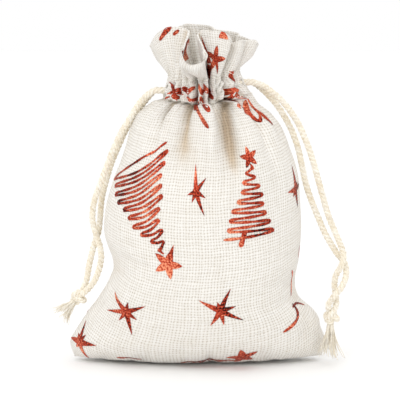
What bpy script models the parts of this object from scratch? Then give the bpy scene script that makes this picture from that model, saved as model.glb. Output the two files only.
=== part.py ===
"""A stuffed drawstring gift pouch, standing upright with its neck drawn closed.

Two cloth panels make the body. Their turned-in hems make a casing round the neck, and two cords run
through it, one out of each side. Metres, +Z up, front towards -Y. The origin is the middle of the base,
on the surface that the pouch stands on.
"""

import math

import bmesh
import bpy
import numpy as np
from mathutils import Vector

MM = 0.001

# Driving dimensions
CLOTH = 0.8 * MM            # wall thickness: woven cloth with its small gathers
GAP = 0.3 * MM              # clearance between touching pieces
CORD = 2.4 * MM             # diameter of the twisted cord
THREAD = 0.6 * MM           # diameter of the sewing thread
STITCH_OFF_LOWER = 0.5 * MM     # how far beyond the gap each row of stitching stands off the pleated wall
STITCH_OFF_UPPER = 0.3 * MM
CASING_Z = 104.5 * MM       # middle of the casing
CASING_HALF = 5.9 * MM      # from the middle of the casing to each row of stitching
CORD_SPACING = 1.5 * MM     # each cord's height above or below the middle of the casing
STRAND_Y = 1.6 * MM         # half the distance between a cord's two strands where they leave the casing
SLIT_HALF_HEIGHT = 1.75 * MM
SLIT_HALF_WIDTH = 3.5 * MM
SLIT_RAMP = 0.2 * MM        # height over which a panel's edge turns in to its slit
TAIL_FROM = 10.9 * MM       # each cord's short tail through the slit, measured from the body's centre
TAIL_TO = 16.7 * MM
STRAND_STRAIGHT = 1.2 * MM  # a strand leaves its tail straight for this far
STRAND_STEP = 5 * MM        # distance between a free strand's points
RUN_REACH = 10.2 * MM       # where a cord's hidden run meets its tails, from the body's centre
RUN_BEND = Vector((1.5 * MM, 0.4 * MM))     # the run's first step in from its tails
RUN_INSIDE = 1.1 * MM       # between the hidden run and the casing's wall
RUN_STEP = 3 * MM
KNOT_HALF = 3.2             # in mm, half a knot's length and also its radius
SEAM_DEPTH = 5 * MM         # width of the overlocked seam allowance
SEAM_THICK = 1.2 * MM
BOTTOM_SEAM_SHORT = 2 * MM  # how far the bottom seam stops short of each side
SCREW_STEPS = 14

LEFT_CORD_Z = CASING_Z - CORD_SPACING
RIGHT_CORD_Z = CASING_Z + CORD_SPACING

# The body's stations, in mm: height, left edge, right edge, half depth, corner power.
# A corner power of 0.5 is an ellipse, and a larger one draws the sides out to a pillow's points.
BODY = np.array([
    (0, -46, 46, 14, 0.75),
    (5, -48.5, 48.5, 17, 0.75),
    (12, -48, 48.4, 20, 0.72),
    (18, -44.8, 46.8, 22, 0.68),
    (25, -39.5, 41.5, 23.5, 0.62),
    (31, -36, 38.8, 24, 0.58),
    (40, -33.5, 38.8, 24, 0.54),
    (50, -34.8, 39.6, 24, 0.5),
    (62, -34.4, 38.4, 23.3, 0.5),
    (80, -28.9, 35.3, 20.5, 0.5),
    (91, -21.6, 30, 17, 0.5),
    (98, -14.5, 20.5, 13.5, 0.5),
    (103, -11.9, 17.4, 11.6, 0.5),
    (107, -12.4, 17.9, 11.8, 0.5),
    (112, -15.6, 20.6, 14, 0.5),
    (118, -20.3, 23.2, 16, 0.5),
    (128, -20, 22.8, 16, 0.5),
])
# The hem's outer surface, in mm: height, half width, half depth.
HEM = np.array([
    (97, 11, 8),
    (99.5, 8.5, 5.6),
    (102, 7, 4.2),
    (107.5, 7, 4.2),
    (110.5, 10, 6.8),
    (114, 16, 11.5),
    (118, 19.2, 13.6),
    (127.6, 19, 13.8),
])
FLUTES = 10                 # soft pleats round the neck and the ruffle
FLUTE_DEPTH = 0.04
FLUTES_FROM = 95 * MM
FLUTES_FULL = 112 * MM
COLUMNS = 20                # faces from seam to seam on one panel
BISECTIONS = 40             # halvings that find an angle on a wall
# Heights of a panel's rows and of a hem's, in mm.
PANEL_HEIGHTS = [
    0, 2.5, 5, 8.5, 12, 19, 27, 38, 50, 57.5, 65, 72.5, 80, 86, 91, 94.5, 98, 100, 110, 112, 115, 118, 123, 128,
]
HEM_HEIGHTS = [97, 98.2, 99.5, 100.7, 102, 104.7, 107.5, 109, 110.5, 112.2, 114, 116, 118, 123, 127.6]
SIDE_SEAM_HEIGHTS = [7, 10, 14, 20, 27, 38, 50, 65, 80, 88, 94]
BOTTOM_SEAM_PLACES = 9

# Routes of the free strands by hand, in mm, from the casing's slit to the knot.
LEFT_OUTER = [
    (-17.0, -1.7, 102.3), (-19.9, -1.8, 99.9), (-22.3, -1.9, 96.8), (-24.9, -2.0, 92.6), (-28.3, -2.1, 87.0),
    (-31.5, -2.1, 80.2), (-33.9, -2.1, 74.0), (-36.5, -2.0, 67.0), (-38.6, -1.9, 60.8), (-39.2, -1.8, 54.4),
    (-38.0, -1.7, 49.0), (-36.6, -1.7, 44.4), (-36.1, -1.7, 40.0), (-36.9, -1.6, 35.4), (-38.7, -1.5, 31.0),
    (-40.7, -1.5, 28.3), (-42.0, -1.5, 27.0),
]
LEFT_INNER = [
    (-17.0, 1.7, 101.7), (-19.8, 2.0, 98.4), (-23.0, 2.6, 93.8), (-26.6, 3.4, 88.0), (-29.8, 4.2, 81.0),
    (-32.4, 4.8, 74.8), (-34.4, 5.2, 68.4), (-36.1, 5.0, 61.6), (-36.7, 4.0, 55.0), (-37.2, 2.4, 49.4),
    (-38.8, 1.7, 44.6), (-40.2, 1.6, 39.4), (-41.2, 1.6, 34.6), (-41.9, 1.6, 31.0), (-43.0, 1.6, 27.9),
]
RIGHT_OUTER = [
    (24.5, -1.7, 105.0), (28.4, -1.8, 102.3), (32.2, -1.9, 98.9), (35.5, -2.0, 94.8), (38.3, -2.1, 90.2),
    (40.7, -2.2, 84.8), (43.1, -2.3, 78.4), (45.3, -2.4, 71.0), (47.3, -2.6, 64.0), (49.3, -3.0, 57.0),
    (51.8, -4.0, 50.6), (53.7, -5.0, 46.0), (55.1, -6.4, 42.0), (54.4, -7.3, 38.0), (52.4, -6.6, 34.0),
    (52.0, -5.4, 30.0), (52.5, -5.5, 26.0), (52.5, -6.8, 22.6),
]
RIGHT_INNER = [
    (24.2, 1.4, 103.7), (27.4, 1.2, 100.6), (30.6, 1.0, 96.8), (33.6, 0.8, 92.2), (36.3, 0.6, 86.8),
    (38.4, 0.4, 80.6), (39.8, 0.2, 74.0), (41.4, -0.2, 67.0), (43.8, -0.9, 60.2), (46.4, -2.2, 54.0),
    (48.2, -3.0, 49.8), (50.2, -3.6, 46.2), (52.8, -3.5, 42.0), (55.8, -3.9, 38.0), (56.2, -5.9, 34.0),
    (54.5, -8.3, 30.0), (51.3, -8.9, 26.0), (49.5, -8.2, 22.6),
]
# Knots: centre in mm, and the direction from the strands to the tassel.
LEFT_KNOT = Vector((-44.9, 0.0, 24.2))
LEFT_KNOT_WAY = Vector((-0.72, 0.0, -0.70))
RIGHT_KNOT = Vector((50.8, -7.6, 18.4))
RIGHT_KNOT_WAY = Vector((-0.10, 0.0, -1.0))
LEFT_TASSEL = 7.0           # lengths of the frayed ends, in mm
RIGHT_TASSEL = 14.0


# Scene helpers

def clear_scene():
    for obj in list(bpy.data.objects):
        bpy.data.objects.remove(obj, do_unlink=True)


def material(name, colour, roughness):
    made = bpy.data.materials.new(name)
    made.use_nodes = True
    shader = made.node_tree.nodes["Principled BSDF"]
    shader.inputs["Base Color"].default_value = (*colour, 1.0)
    shader.inputs["Roughness"].default_value = roughness
    shader.inputs["Metallic"].default_value = 0.0
    return made


def add_object(name, data, mat, collection, parent=None, location=(0, 0, 0)):
    data.materials.append(mat)
    made = bpy.data.objects.new(name, data)
    collection.objects.link(made)
    made.parent = parent
    made.location = location
    return made


def add_pivot(name, location, collection):
    made = bpy.data.objects.new(name, None)
    made.location = location
    made.empty_display_size = 5 * MM
    collection.objects.link(made)
    return made


# Cloth

def station(table, z):
    """The table's values at height z, on a smooth curve through its stations."""
    heights = table[:, 0] * MM
    z = min(max(z, heights[0]), heights[-1])
    i = min(int(np.searchsorted(heights, z, side="right")) - 1, len(heights) - 2)
    slopes = np.gradient(table[:, 1:], heights, axis=0)
    span = heights[i + 1] - heights[i]
    u = (z - heights[i]) / span
    start, end = table[i, 1:], table[i + 1, 1:]
    value = (
        (2 * u**3 - 3 * u**2 + 1) * start
        + (u**3 - 2 * u**2 + u) * span * slopes[i]
        + (3 * u**2 - 2 * u**3) * end
        + (u**3 - u**2) * span * slopes[i + 1]
    )
    return value


def body_at(z):
    """The body's half width, half depth, corner power and centre in X at this height, lengths in metres."""
    left, right, half_depth, power = station(BODY, z)
    return (right - left) / 2 * MM, half_depth * MM, power, (left + right) / 2 * MM


def flute(z, angle):
    """How much a pleat pushes the wall out at this angle round the pouch."""
    rise = min(max((z - FLUTES_FROM) / (FLUTES_FULL - FLUTES_FROM), 0.0), 1.0)
    return 1.0 + FLUTE_DEPTH * rise * math.cos(FLUTES * angle)


def wall(z, angle, inset):
    """A point on the body's wall, this far inside its outer surface. Angle 0 is +X, and 90 degrees the front."""
    half_width, half_depth, power, centre = body_at(z)
    scale = flute(z, angle)
    x = centre + (half_width * scale - inset) * math.cos(angle)
    y = (half_depth * scale - inset) * math.sin(angle) ** (2 * power)
    return x, y


def hem_wall(z, angle, inset):
    half_width, half_depth = station(HEM, z)
    centre = body_at(z)[3]
    scale = flute(z, angle)
    x = centre + (half_width * MM * scale - inset) * math.cos(angle)
    y = (half_depth * MM * scale - inset) * math.sin(angle)
    return x, y


def edge_angle(surface, z, inset, reach):
    """The angle where the surface comes within reach of the seam plane."""
    low, high = 0.0, math.pi / 2
    for _ in range(BISECTIONS):
        middle = (low + high) / 2
        if surface(z, middle, inset)[1] < reach:
            low = middle
        else:
            high = middle
    return high


def slit_reach(z, cord_z):
    """How far a panel's edge stands back from the seam plane at this height: further at its cord's slit."""
    inside = (SLIT_HALF_HEIGHT + SLIT_RAMP - abs(z - cord_z)) / SLIT_RAMP
    return GAP / 2 + (SLIT_HALF_WIDTH - GAP / 2) * min(max(inside, 0.0), 1.0)


def surface_row(surface, z, inset, side, left_reach, right_reach):
    """Points from the right edge to the left one. Side is -1 for the front, which faces -Y, and 1 for the back."""
    start = edge_angle(surface, z, inset, right_reach)
    end = math.pi - edge_angle(surface, z, inset, left_reach)
    row = []
    for angle in np.linspace(start, end, COLUMNS + 1):
        x, y = surface(z, angle, inset)
        row.append(Vector((x, side * y, z)))
    return row


def panel_heights():
    """The heights of a panel's rows, with close pairs at the slits' edges."""
    heights = [z * MM for z in PANEL_HEIGHTS]
    for cord_z in (LEFT_CORD_Z, RIGHT_CORD_Z):
        for offset in (SLIT_HALF_HEIGHT, SLIT_HALF_HEIGHT + SLIT_RAMP):
            heights += [cord_z - offset, cord_z + offset]
    return sorted(heights)


def panel_surface(side, inset):
    """Rows from the middle of the flat base out to its edge and up the wall to the ruffle's top."""
    heights = panel_heights()
    foot = surface_row(wall, heights[0], inset, side, GAP / 2, GAP / 2)
    seam = side * GAP / 2
    rows = []
    for part in (0.0, 0.5):
        rows.append([Vector((p.x, seam + (p.y - seam) * part, inset)) for p in foot])
    for z in heights:
        row = surface_row(wall, z, inset, side, slit_reach(z, LEFT_CORD_Z), slit_reach(z, RIGHT_CORD_Z))
        rows.append([Vector((p.x, p.y, max(z, inset))) for p in row])
    return rows


def hem_surface(side, inset):
    return [surface_row(hem_wall, z * MM, inset, side, GAP / 2, GAP / 2) for z in HEM_HEIGHTS]


def sheet_mesh(name, outer, inner):
    """A closed sheet between two surfaces of the same rows and columns, loft by loft, with its rim all round."""
    bm = bmesh.new()
    grids = [[[bm.verts.new(p) for p in row] for row in rows] for rows in (outer, inner)]
    row_count, column_count = len(outer), len(outer[0])
    for grid in grids:
        for i in range(row_count - 1):
            for j in range(column_count - 1):
                bm.faces.new((grid[i][j], grid[i][j + 1], grid[i + 1][j + 1], grid[i + 1][j]))
    rim = [(0, j) for j in range(column_count)]
    rim += [(i, column_count - 1) for i in range(1, row_count)]
    rim += [(row_count - 1, j) for j in range(column_count - 2, -1, -1)]
    rim += [(i, 0) for i in range(row_count - 2, 0, -1)]
    for (i, j), (k, m) in zip(rim, rim[1:] + rim[:1]):
        bm.faces.new((grids[0][i][j], grids[0][k][m], grids[1][k][m], grids[1][i][j]))
    bmesh.ops.remove_doubles(bm, verts=bm.verts, dist=0.001 * MM)
    bmesh.ops.recalc_face_normals(bm, faces=bm.faces)
    mesh = bpy.data.meshes.new(name)
    bm.to_mesh(mesh)
    bm.free()
    mesh.shade_smooth()
    mesh.set_sharp_from_angle(angle=math.radians(50))
    return mesh


def add_panels(cloth, collection):
    for name, side in (("front", -1), ("back", 1)):
        panel = sheet_mesh(f"{name}_panel", panel_surface(side, 0.0), panel_surface(side, CLOTH))
        add_object(f"{name}_panel", panel, cloth, collection)
        hem = sheet_mesh(f"{name}_hem", hem_surface(side, 0.0), hem_surface(side, CLOTH))
        add_object(f"{name}_hem", hem, cloth, collection)


# Seams

def seam_edge(z):
    """How far from the body's centre a seam allowance can reach inside the side corner at this height."""
    angle = edge_angle(wall, z, CLOTH, SEAM_THICK / 2 + GAP)
    return wall(z, angle, CLOTH)[0] - body_at(z)[3] - GAP


def strip_mesh(name, outer, inner):
    """A flat strip between two edges, as thick as a seam allowance, from a ribbon with Solidify."""
    mesh = bpy.data.meshes.new(name)
    points = [p for pair in zip(outer, inner) for p in pair]
    faces = [(2 * i, 2 * i + 1, 2 * i + 3, 2 * i + 2) for i in range(len(outer) - 1)]
    mesh.from_pydata(points, [], faces)
    return mesh


def add_solidify(obj, thickness):
    modifier = obj.modifiers.new("Solidify", "SOLIDIFY")
    modifier.thickness = thickness
    modifier.offset = 0.0


def add_seams(thread, collection):
    heights = [z * MM for z in SIDE_SEAM_HEIGHTS]
    for name, side in (("left", -1), ("right", 1)):
        outer = []
        inner = []
        for z in heights:
            centre = body_at(z)[3]
            reach = seam_edge(z)
            outer.append((centre + side * reach, 0.0, z))
            inner.append((centre + side * (reach - SEAM_DEPTH), 0.0, z))
        mesh = strip_mesh(f"{name}_side_seam", outer, inner)
        add_solidify(add_object(f"{name}_side_seam", mesh, thread, collection), SEAM_THICK)
    half_length = seam_edge(0.0) - BOTTOM_SEAM_SHORT
    low = CLOTH + GAP
    places = np.linspace(-half_length, half_length, BOTTOM_SEAM_PLACES)
    lower_edge = [(x, 0.0, low) for x in places]
    upper_edge = [(x, 0.0, low + SEAM_DEPTH) for x in places]
    mesh = strip_mesh("bottom_seam", lower_edge, upper_edge)
    add_solidify(add_object("bottom_seam", mesh, thread, collection), SEAM_THICK)


# Cords and threads

def smooth_route(points, spacing):
    """Points at an even spacing on a smooth curve through the given ones."""
    points = [Vector(p) for p in points]
    ends = [2 * points[0] - points[1], *points, 2 * points[-1] - points[-2]]
    fine = []
    for before, start, end, after in zip(ends, ends[1:], ends[2:], ends[3:]):
        for u in np.linspace(0, 1, 12, endpoint=False):
            fine.append(0.5 * (
                2 * start + (end - before) * u + (2 * before - 5 * start + 4 * end - after) * u**2
                + (3 * start - before - 3 * end + after) * u**3
            ))
    fine.append(points[-1])
    steps = [0.0]
    for a, b in zip(fine, fine[1:]):
        steps.append(steps[-1] + (b - a).length)
    count = max(2, round(steps[-1] / spacing) + 1)
    spots = np.linspace(0, steps[-1], count)
    axes = [np.interp(spots, steps, [p[axis] for p in fine]) for axis in range(3)]
    return [Vector(p) for p in zip(*axes)]


def tube(name, points, diameter, mat, collection, parent=None, closed=False):
    """A round cord or thread along the points, which are world positions. Its own place is its parent's."""
    origin = parent.location if parent else Vector((0, 0, 0))
    curve = bpy.data.curves.new(name, "CURVE")
    curve.dimensions = "3D"
    curve.bevel_depth = diameter / 2
    curve.bevel_resolution = 2
    curve.use_fill_caps = not closed
    spline = curve.splines.new("POLY")
    spline.points.add(len(points) - 1)
    for point, place in zip(spline.points, points):
        point.co = (*(place - origin), 1.0)
    spline.use_cyclic_u = closed
    return add_object(name, curve, mat, collection, parent)


def add_stitches(thread, collection):
    """One continuous row of thread round the neck at each edge of the casing, just outside the cloth."""
    for name, z, stand_off in (
        ("casing_stitch_lower", CASING_Z - CASING_HALF, STITCH_OFF_LOWER),
        ("casing_stitch_upper", CASING_Z + CASING_HALF, STITCH_OFF_UPPER),
    ):
        outset = -(THREAD / 2 + GAP + stand_off)
        front = surface_row(wall, z, outset, -1, 0.0, 0.0)
        back = surface_row(wall, z, outset, 1, 0.0, 0.0)
        ring = front + back[-2:0:-1]
        tube(name, ring, THREAD, thread, collection, closed=True)


def add_runs(cord, collection):
    """Each cord's stretch inside the casing: in by its own side, round the far side and back."""
    for name, z, side in (("left", LEFT_CORD_Z, -1), ("right", RIGHT_CORD_Z, 1)):
        half_width, half_depth, _, centre = body_at(z)
        ring_x = half_width - CLOTH - CORD / 2 - RUN_INSIDE
        ring_y = half_depth - CLOTH - CORD / 2 - RUN_INSIDE
        end_x = centre + side * RUN_REACH
        bend_x = centre + side * (RUN_REACH - RUN_BEND.x)
        route = [(end_x, -STRAND_Y, z), (bend_x, -STRAND_Y - RUN_BEND.y, z)]
        for angle in np.radians(np.arange(50, 311, 20)):
            x = centre + side * ring_x * math.cos(angle)
            route.append((x, -ring_y * math.sin(angle), z))
        route += [(bend_x, STRAND_Y + RUN_BEND.y, z), (end_x, STRAND_Y, z)]
        tube(f"{name}_drawstring_run", smooth_route(route, RUN_STEP), CORD, cord, collection)


def turned(name, profile, mat, collection, place, way, parent):
    """A body turned about its own Z from (radius, height) pairs, top to bottom, then aimed along way."""
    mesh = bpy.data.meshes.new(name)
    points = [(radius * MM, 0.0, height * MM) for radius, height in profile]
    mesh.from_pydata(points, [(i, i + 1) for i in range(len(points) - 1)], [])
    made = add_object(name, mesh, mat, collection, parent, place - parent.location)
    made.rotation_euler = (-way).to_track_quat("Z", "Y").to_euler()
    screw = made.modifiers.new("Screw", "SCREW")
    screw.steps = SCREW_STEPS
    screw.render_steps = SCREW_STEPS
    screw.use_merge_vertices = True
    screw.merge_threshold = 0.01 * MM
    screw.use_smooth_shade = True
    return made


def knot_profile():
    """An overhand knot's outer shape in mm: a ball with a waist between its two turns."""
    wide = KNOT_HALF
    return [
        (0, wide), (0.47 * wide, 0.95 * wide), (0.84 * wide, 0.72 * wide), (wide, 0.38 * wide),
        (0.92 * wide, 0.03 * wide), (wide, -0.34 * wide), (0.84 * wide, -0.69 * wide),
        (0.47 * wide, -0.94 * wide), (0, -wide),
    ]


def tassel_profile(length):
    """Frayed ends in mm: as thin as the cord at the knot and spread at the bottom."""
    return [
        (0, 0), (1.3, -0.1), (1.7, -0.3 * length), (2.4, -0.7 * length), (2.9, -0.95 * length), (0, -length),
    ]


def add_side(side, cord_z, outer, inner, knot, way, tassel_length, cord, collection):
    """One cord outside the casing: two short tails in the slit, then the loop of two strands, knot and tassel.

    The loop's hinge lies along the cord's upper side, so that its face swings clear of the tails as it lifts.
    """
    name = "left" if side < 0 else "right"
    centre = body_at(cord_z)[3]
    tail_in = centre + side * TAIL_FROM
    tail_out = centre + side * TAIL_TO
    slide = add_pivot(f"{name}_tail_pivot", (tail_out, 0, cord_z), collection)
    hinge_z = cord_z + CORD / 2 + GAP / 2
    swing = add_pivot(f"{name}_loop_pivot", (tail_out + side * GAP / 2, 0, hinge_z), collection)
    way = way.normalized()
    knot = knot * MM
    for part, y, route in (("front", -STRAND_Y, outer), ("back", STRAND_Y, inner)):
        tail = [Vector((x, y, cord_z)) for x in np.linspace(tail_in, tail_out, 3)]
        tube(f"{name}_tail_{part}", tail, CORD, cord, collection, slide)
        first = Vector((tail_out + side * GAP, y, cord_z))
        straight = first + Vector((side * STRAND_STRAIGHT, 0, 0))
        points = [first, *smooth_route([straight, *(Vector(p) * MM for p in route)], STRAND_STEP)]
        tube(f"{name}_strand_{part}", points, CORD, cord, collection, swing)
    turned(f"{name}_knot", knot_profile(), cord, collection, knot, way, swing)
    tassel_top = knot + way * (KNOT_HALF * MM + GAP)
    turned(f"{name}_tassel", tassel_profile(tassel_length), cord, collection, tassel_top, way, swing)


def main():
    clear_scene()
    collection = bpy.data.collections.new("gift_pouch")
    bpy.context.scene.collection.children.link(collection)
    cloth = material("cotton_cloth", (0.86, 0.84, 0.80), 0.9)
    cord = material("cotton_cord", (0.84, 0.79, 0.70), 0.85)
    thread = material("sewing_thread", (0.90, 0.88, 0.84), 0.7)
    add_panels(cloth, collection)
    add_seams(thread, collection)
    add_stitches(thread, collection)
    add_runs(cord, collection)
    add_side(-1, LEFT_CORD_Z, LEFT_OUTER, LEFT_INNER, LEFT_KNOT, LEFT_KNOT_WAY, LEFT_TASSEL, cord, collection)
    add_side(1, RIGHT_CORD_Z, RIGHT_OUTER, RIGHT_INNER, RIGHT_KNOT, RIGHT_KNOT_WAY, RIGHT_TASSEL, cord, collection)


main()
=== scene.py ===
"""Looks for the gift sack: woven cotton gathered at a corded neck, foil prints, twisted cotton cords.

Lengths are written in millimetres and multiplied by MM where they enter the scene. The front faces -Y.
"""

import math

import bpy
import numpy as np
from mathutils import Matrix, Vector


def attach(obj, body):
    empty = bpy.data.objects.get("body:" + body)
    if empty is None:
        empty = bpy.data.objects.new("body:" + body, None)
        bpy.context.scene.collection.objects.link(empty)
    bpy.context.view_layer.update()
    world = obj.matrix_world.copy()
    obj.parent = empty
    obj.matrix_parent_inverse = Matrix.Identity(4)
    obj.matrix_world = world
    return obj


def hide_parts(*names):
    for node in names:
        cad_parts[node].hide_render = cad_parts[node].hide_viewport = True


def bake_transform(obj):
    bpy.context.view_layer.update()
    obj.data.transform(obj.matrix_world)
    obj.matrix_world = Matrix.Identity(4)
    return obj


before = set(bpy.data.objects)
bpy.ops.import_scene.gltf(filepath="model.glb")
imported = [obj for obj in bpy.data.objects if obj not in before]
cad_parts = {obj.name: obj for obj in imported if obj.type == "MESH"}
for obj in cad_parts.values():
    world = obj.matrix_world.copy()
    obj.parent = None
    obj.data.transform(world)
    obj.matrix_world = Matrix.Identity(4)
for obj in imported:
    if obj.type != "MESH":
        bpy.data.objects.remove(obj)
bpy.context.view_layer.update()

MM = 0.001

# The cloth's flat pattern, in mm. Each panel is PANEL wide, and s runs round the sack from the left seam.
PANEL = 100
ROUND = 2 * PANEL
H_LOWER = 111               # from the bottom seam to the casing's lower stitching
H_UPPER = 123               # to its upper stitching
H_TOP = 143                 # to the fold at the top
ROW_STEP = 1.2
UPPER_ROWS = 34
Z_LOWER = 98.5
Z_UPPER = 107.5
FLOOR_CLEAR = 0.05          # between the lowest cloth and the floor
HEM_THICK = 0.9             # between the ruffle's two layers
HEM_TIGHT = 0.52            # the hem's size inside the casing, where it is gathered tightest
WEAVE = 1.06                # distance between threads

CORD_MM = 2.4
CORD_Z = {"left": 103, "right": 106}     # the heights of the slits

# The stuffed body's outline, in mm: height, left edge, right edge, half depth, corner power.
BODY = np.array([
    (0, -46, 46, 14, 0.75),
    (5, -48.5, 48.5, 17, 0.75),
    (12, -48, 48.4, 20, 0.72),
    (18, -44.8, 46.8, 22, 0.68),
    (25, -39.5, 41.5, 23.5, 0.62),
    (31, -36, 38.8, 24, 0.58),
    (40, -33.5, 38.8, 24, 0.54),
    (50, -34.8, 39.6, 24, 0.5),
    (62, -34.4, 38.4, 23.3, 0.5),
    (80, -28.9, 35.6, 20.5, 0.5),
    (90, -23.6, 31.8, 17.8, 0.5),
    (95.5, -18.4, 25.8, 15.2, 0.5),
    (98.5, -14.2, 20.2, 12.6, 0.5),
], float)
# The sides the settled body is brought to: height, left edge and right edge in mm.
OUTLINE = np.array([
    (0, -46.5, 48), (5, -48, 48.8), (9, -48, 48.8), (12, -46.4, 48.2), (15, -44.6, 47.4),
    (19, -42.4, 45.6), (22, -40.6, 43.4), (26, -38, 40), (29, -35.8, 38.4), (33, -33.5, 38),
    (36, -32, 38.3), (40, -32.2, 39), (44, -33.8, 39.4), (50, -35, 39.5), (57, -34.6, 39.4),
    (64, -33.2, 39), (71, -31.1, 38.3), (78, -28.4, 36.5), (85, -26.3, 34), (91, -24.4, 31.2),
    (95.5, -22, 27.4), (98.5, -18, 23.4), (102, -12, 19.5), (106, -11, 17),
], float)
MIDDLE_RADII = (37, 24)     # of the contour that spaces the body's columns evenly


def smooth_table(table, at):
    """Values of a table's other columns at these places, on a smooth curve through its rows."""
    xs, ys = table[:, 0], table[:, 1:]
    slopes = np.gradient(ys, xs, axis=0)
    at = np.clip(at, xs[0], xs[-1])
    i = np.clip(np.searchsorted(xs, at, side="right") - 1, 0, len(xs) - 2)
    span = (xs[i + 1] - xs[i])[..., None]
    u = ((at - xs[i]) / (xs[i + 1] - xs[i]))[..., None]
    return (
        (2 * u**3 - 3 * u**2 + 1) * ys[i] + (u**3 - 2 * u**2 + u) * span * slopes[i]
        + (3 * u**2 - 2 * u**3) * ys[i + 1] + (u**3 - u**2) * span * slopes[i + 1]
    )


def smoothstep(x, low=0.0, high=1.0):
    u = np.clip((x - low) / (high - low), 0, 1)
    return u * u * (3 - 2 * u)


def unit(vectors):
    return vectors / np.maximum(np.linalg.norm(vectors, axis=-1, keepdims=True), 1e-9)


# The body before it is stuffed

def equal_arc_angles(count):
    """Angles from the left seam to the right one, an equal distance apart on the body's middle contour."""
    fine = np.linspace(math.pi, 0, 721)
    x, y = MIDDLE_RADII[0] * np.cos(fine), MIDDLE_RADII[1] * np.sin(fine)
    run = np.concatenate([[0], np.cumsum(np.hypot(np.diff(x), np.diff(y)))])
    return np.interp(np.linspace(0, run[-1], count + 1), run, fine)


def round_angles():
    """One angle for each column round the whole sack: the front from pi to 0, then the back from 0 to -pi."""
    front = equal_arc_angles(PANEL)
    back = -front[::-1]
    return np.concatenate([front[:-1], back[:-1]])


def body_start(rows):
    """The stuffed body as a smooth shell on the cloth's own grid, up to the lower stitching."""
    angles = round_angles()
    levels = np.linspace(0, Z_LOWER, 150)
    left, right, depth, power = smooth_table(BODY, levels).T
    cos, sin = np.cos(angles), np.abs(np.sin(angles))
    side = np.where(np.arange(ROUND) < PANEL, -1.0, 1.0)
    x = (left + right)[:, None] / 2 + (right - left)[:, None] / 2 * cos
    y = side * depth[:, None] * sin ** (2 * power[:, None])
    z = np.repeat(levels[:, None], ROUND, axis=1)
    wall = np.stack([x, y, z], axis=2)
    foot = wall[:1]
    base = [foot * [1, part, 1] for part in np.linspace(0, 1, 8, endpoint=False)]
    wall = np.concatenate([*base, wall])
    steps = np.linalg.norm(np.diff(wall, axis=0), axis=2)
    run = np.concatenate([np.zeros((1, ROUND)), np.cumsum(steps, axis=0)])
    grid = np.empty((rows, ROUND, 3))
    for j in range(ROUND):
        spots = np.linspace(0, run[-1, j], rows)
        for axis in range(3):
            grid[:, j, axis] = np.interp(spots, run[:, j], wall[:, j, axis])
    return grid


# The neck and the ruffle

# Valleys of the neck's pleats: s in mm round the pattern, and how deep each is, from 0 to 1.
VALLEYS = [
    (7, 0.3), (15, 0.25), (24, 0.95), (31, 0.3), (38.5, 1.1), (48, 0.35), (57.5, 1.15), (69, 0.25),
    (80.5, 1.15), (91, 0.5), (107, 0.5), (116, 1.0), (124, 0.35), (133, 1.1), (142, 0.3), (151, 1.05),
    (160, 0.4), (169, 1.1), (178, 0.35), (187, 0.9), (195, 0.3),
]
PLEAT_DEPTH = 0.42
# Where the pattern passes round the neck: s in mm and the angle in degrees, 90 in front.
NECK_ANGLE = [
    (0, 180), (24, 132), (38.5, 104), (57.5, 80), (80.5, 52), (94, 20), (100, 0),
    (114, -28), (131, -60), (149, -92), (167, -124), (184, -152), (200, -180),
]
NECK_CENTRE = (2.75, 0.0)
NECK_RADII = (13.3, 10.8)
NECK_FLARE = (1.8, 4.2)      # how far its foot spreads onto the shoulders, left and right, in mm
# How much higher the neck's sides stand than its middle, and how far it rises to the right of it, in mm.
NECK_LIFT = (2.2, 1.2)

# The ruffle's edge, seen going round from the left seam: s, x, y, z in mm.
RIM = [
    (0, -17.6, 1.0, 119.4), (8, -15.2, -4.6, 123.6), (15, -9.6, -6.6, 126.6), (21, -3.2, -4.8, 125.8),
    (27, -4.2, -9.4, 122.2), (33, -5.6, -13.2, 117.4), (38, -3.6, -15.6, 113.8), (43, 0.4, -16.2, 113.0),
    (48, 3.2, -14.2, 115.2), (53, 2.8, -10.4, 119.6), (58.5, 0.4, -4.8, 124.6), (65, 5.4, -11.0, 125.2),
    (70, 10.0, -13.4, 124.6), (75, 13.4, -11.4, 121.8), (80.5, 12.6, -5.4, 120.6), (85, 16.8, -9.8, 121.4),
    (90, 18.2, -3.6, 121.8), (95, 22.2, -6.2, 121.0), (100, 23.4, -0.4, 120.2), (107, 21.6, 6.2, 121.4),
    (115, 15.6, 3.6, 123.0), (123, 16.6, 12.2, 123.6), (132, 8.2, 5.4, 125.4), (141, 5.4, 15.4, 126.4),
    (150, -0.6, 6.4, 127.4), (158, -5.4, 14.4, 127.0), (166, -7.4, 4.6, 126.0), (175, -13.6, 10.8, 124.6),
    (184, -12.4, 3.2, 123.0), (193, -17.2, 6.0, 120.6), (200, -17.6, 1.0, 119.4),
]
BULGE = 0.05                # how far slack cloth bellies out, as a share of its slack
SPOUT = (40, 12, 0.30)      # the front fold that opens like a spout: its s, its half width, its extra bulge
CRUMPLE = 1.00              # height of the casing's crumples, in mm


def closed_curve(table, at, turn=0.0):
    """A smooth closed curve through rows that start with s, read at s.

    The second column gains turn each time round.
    """
    table = np.array(table, float)
    before, after = table[-4:-1].copy(), table[1:4].copy()
    before[:, 0] -= ROUND
    before[:, 1] -= turn
    after[:, 0] += ROUND
    after[:, 1] += turn
    return smooth_table(np.concatenate([before, table, after]), at)


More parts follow.
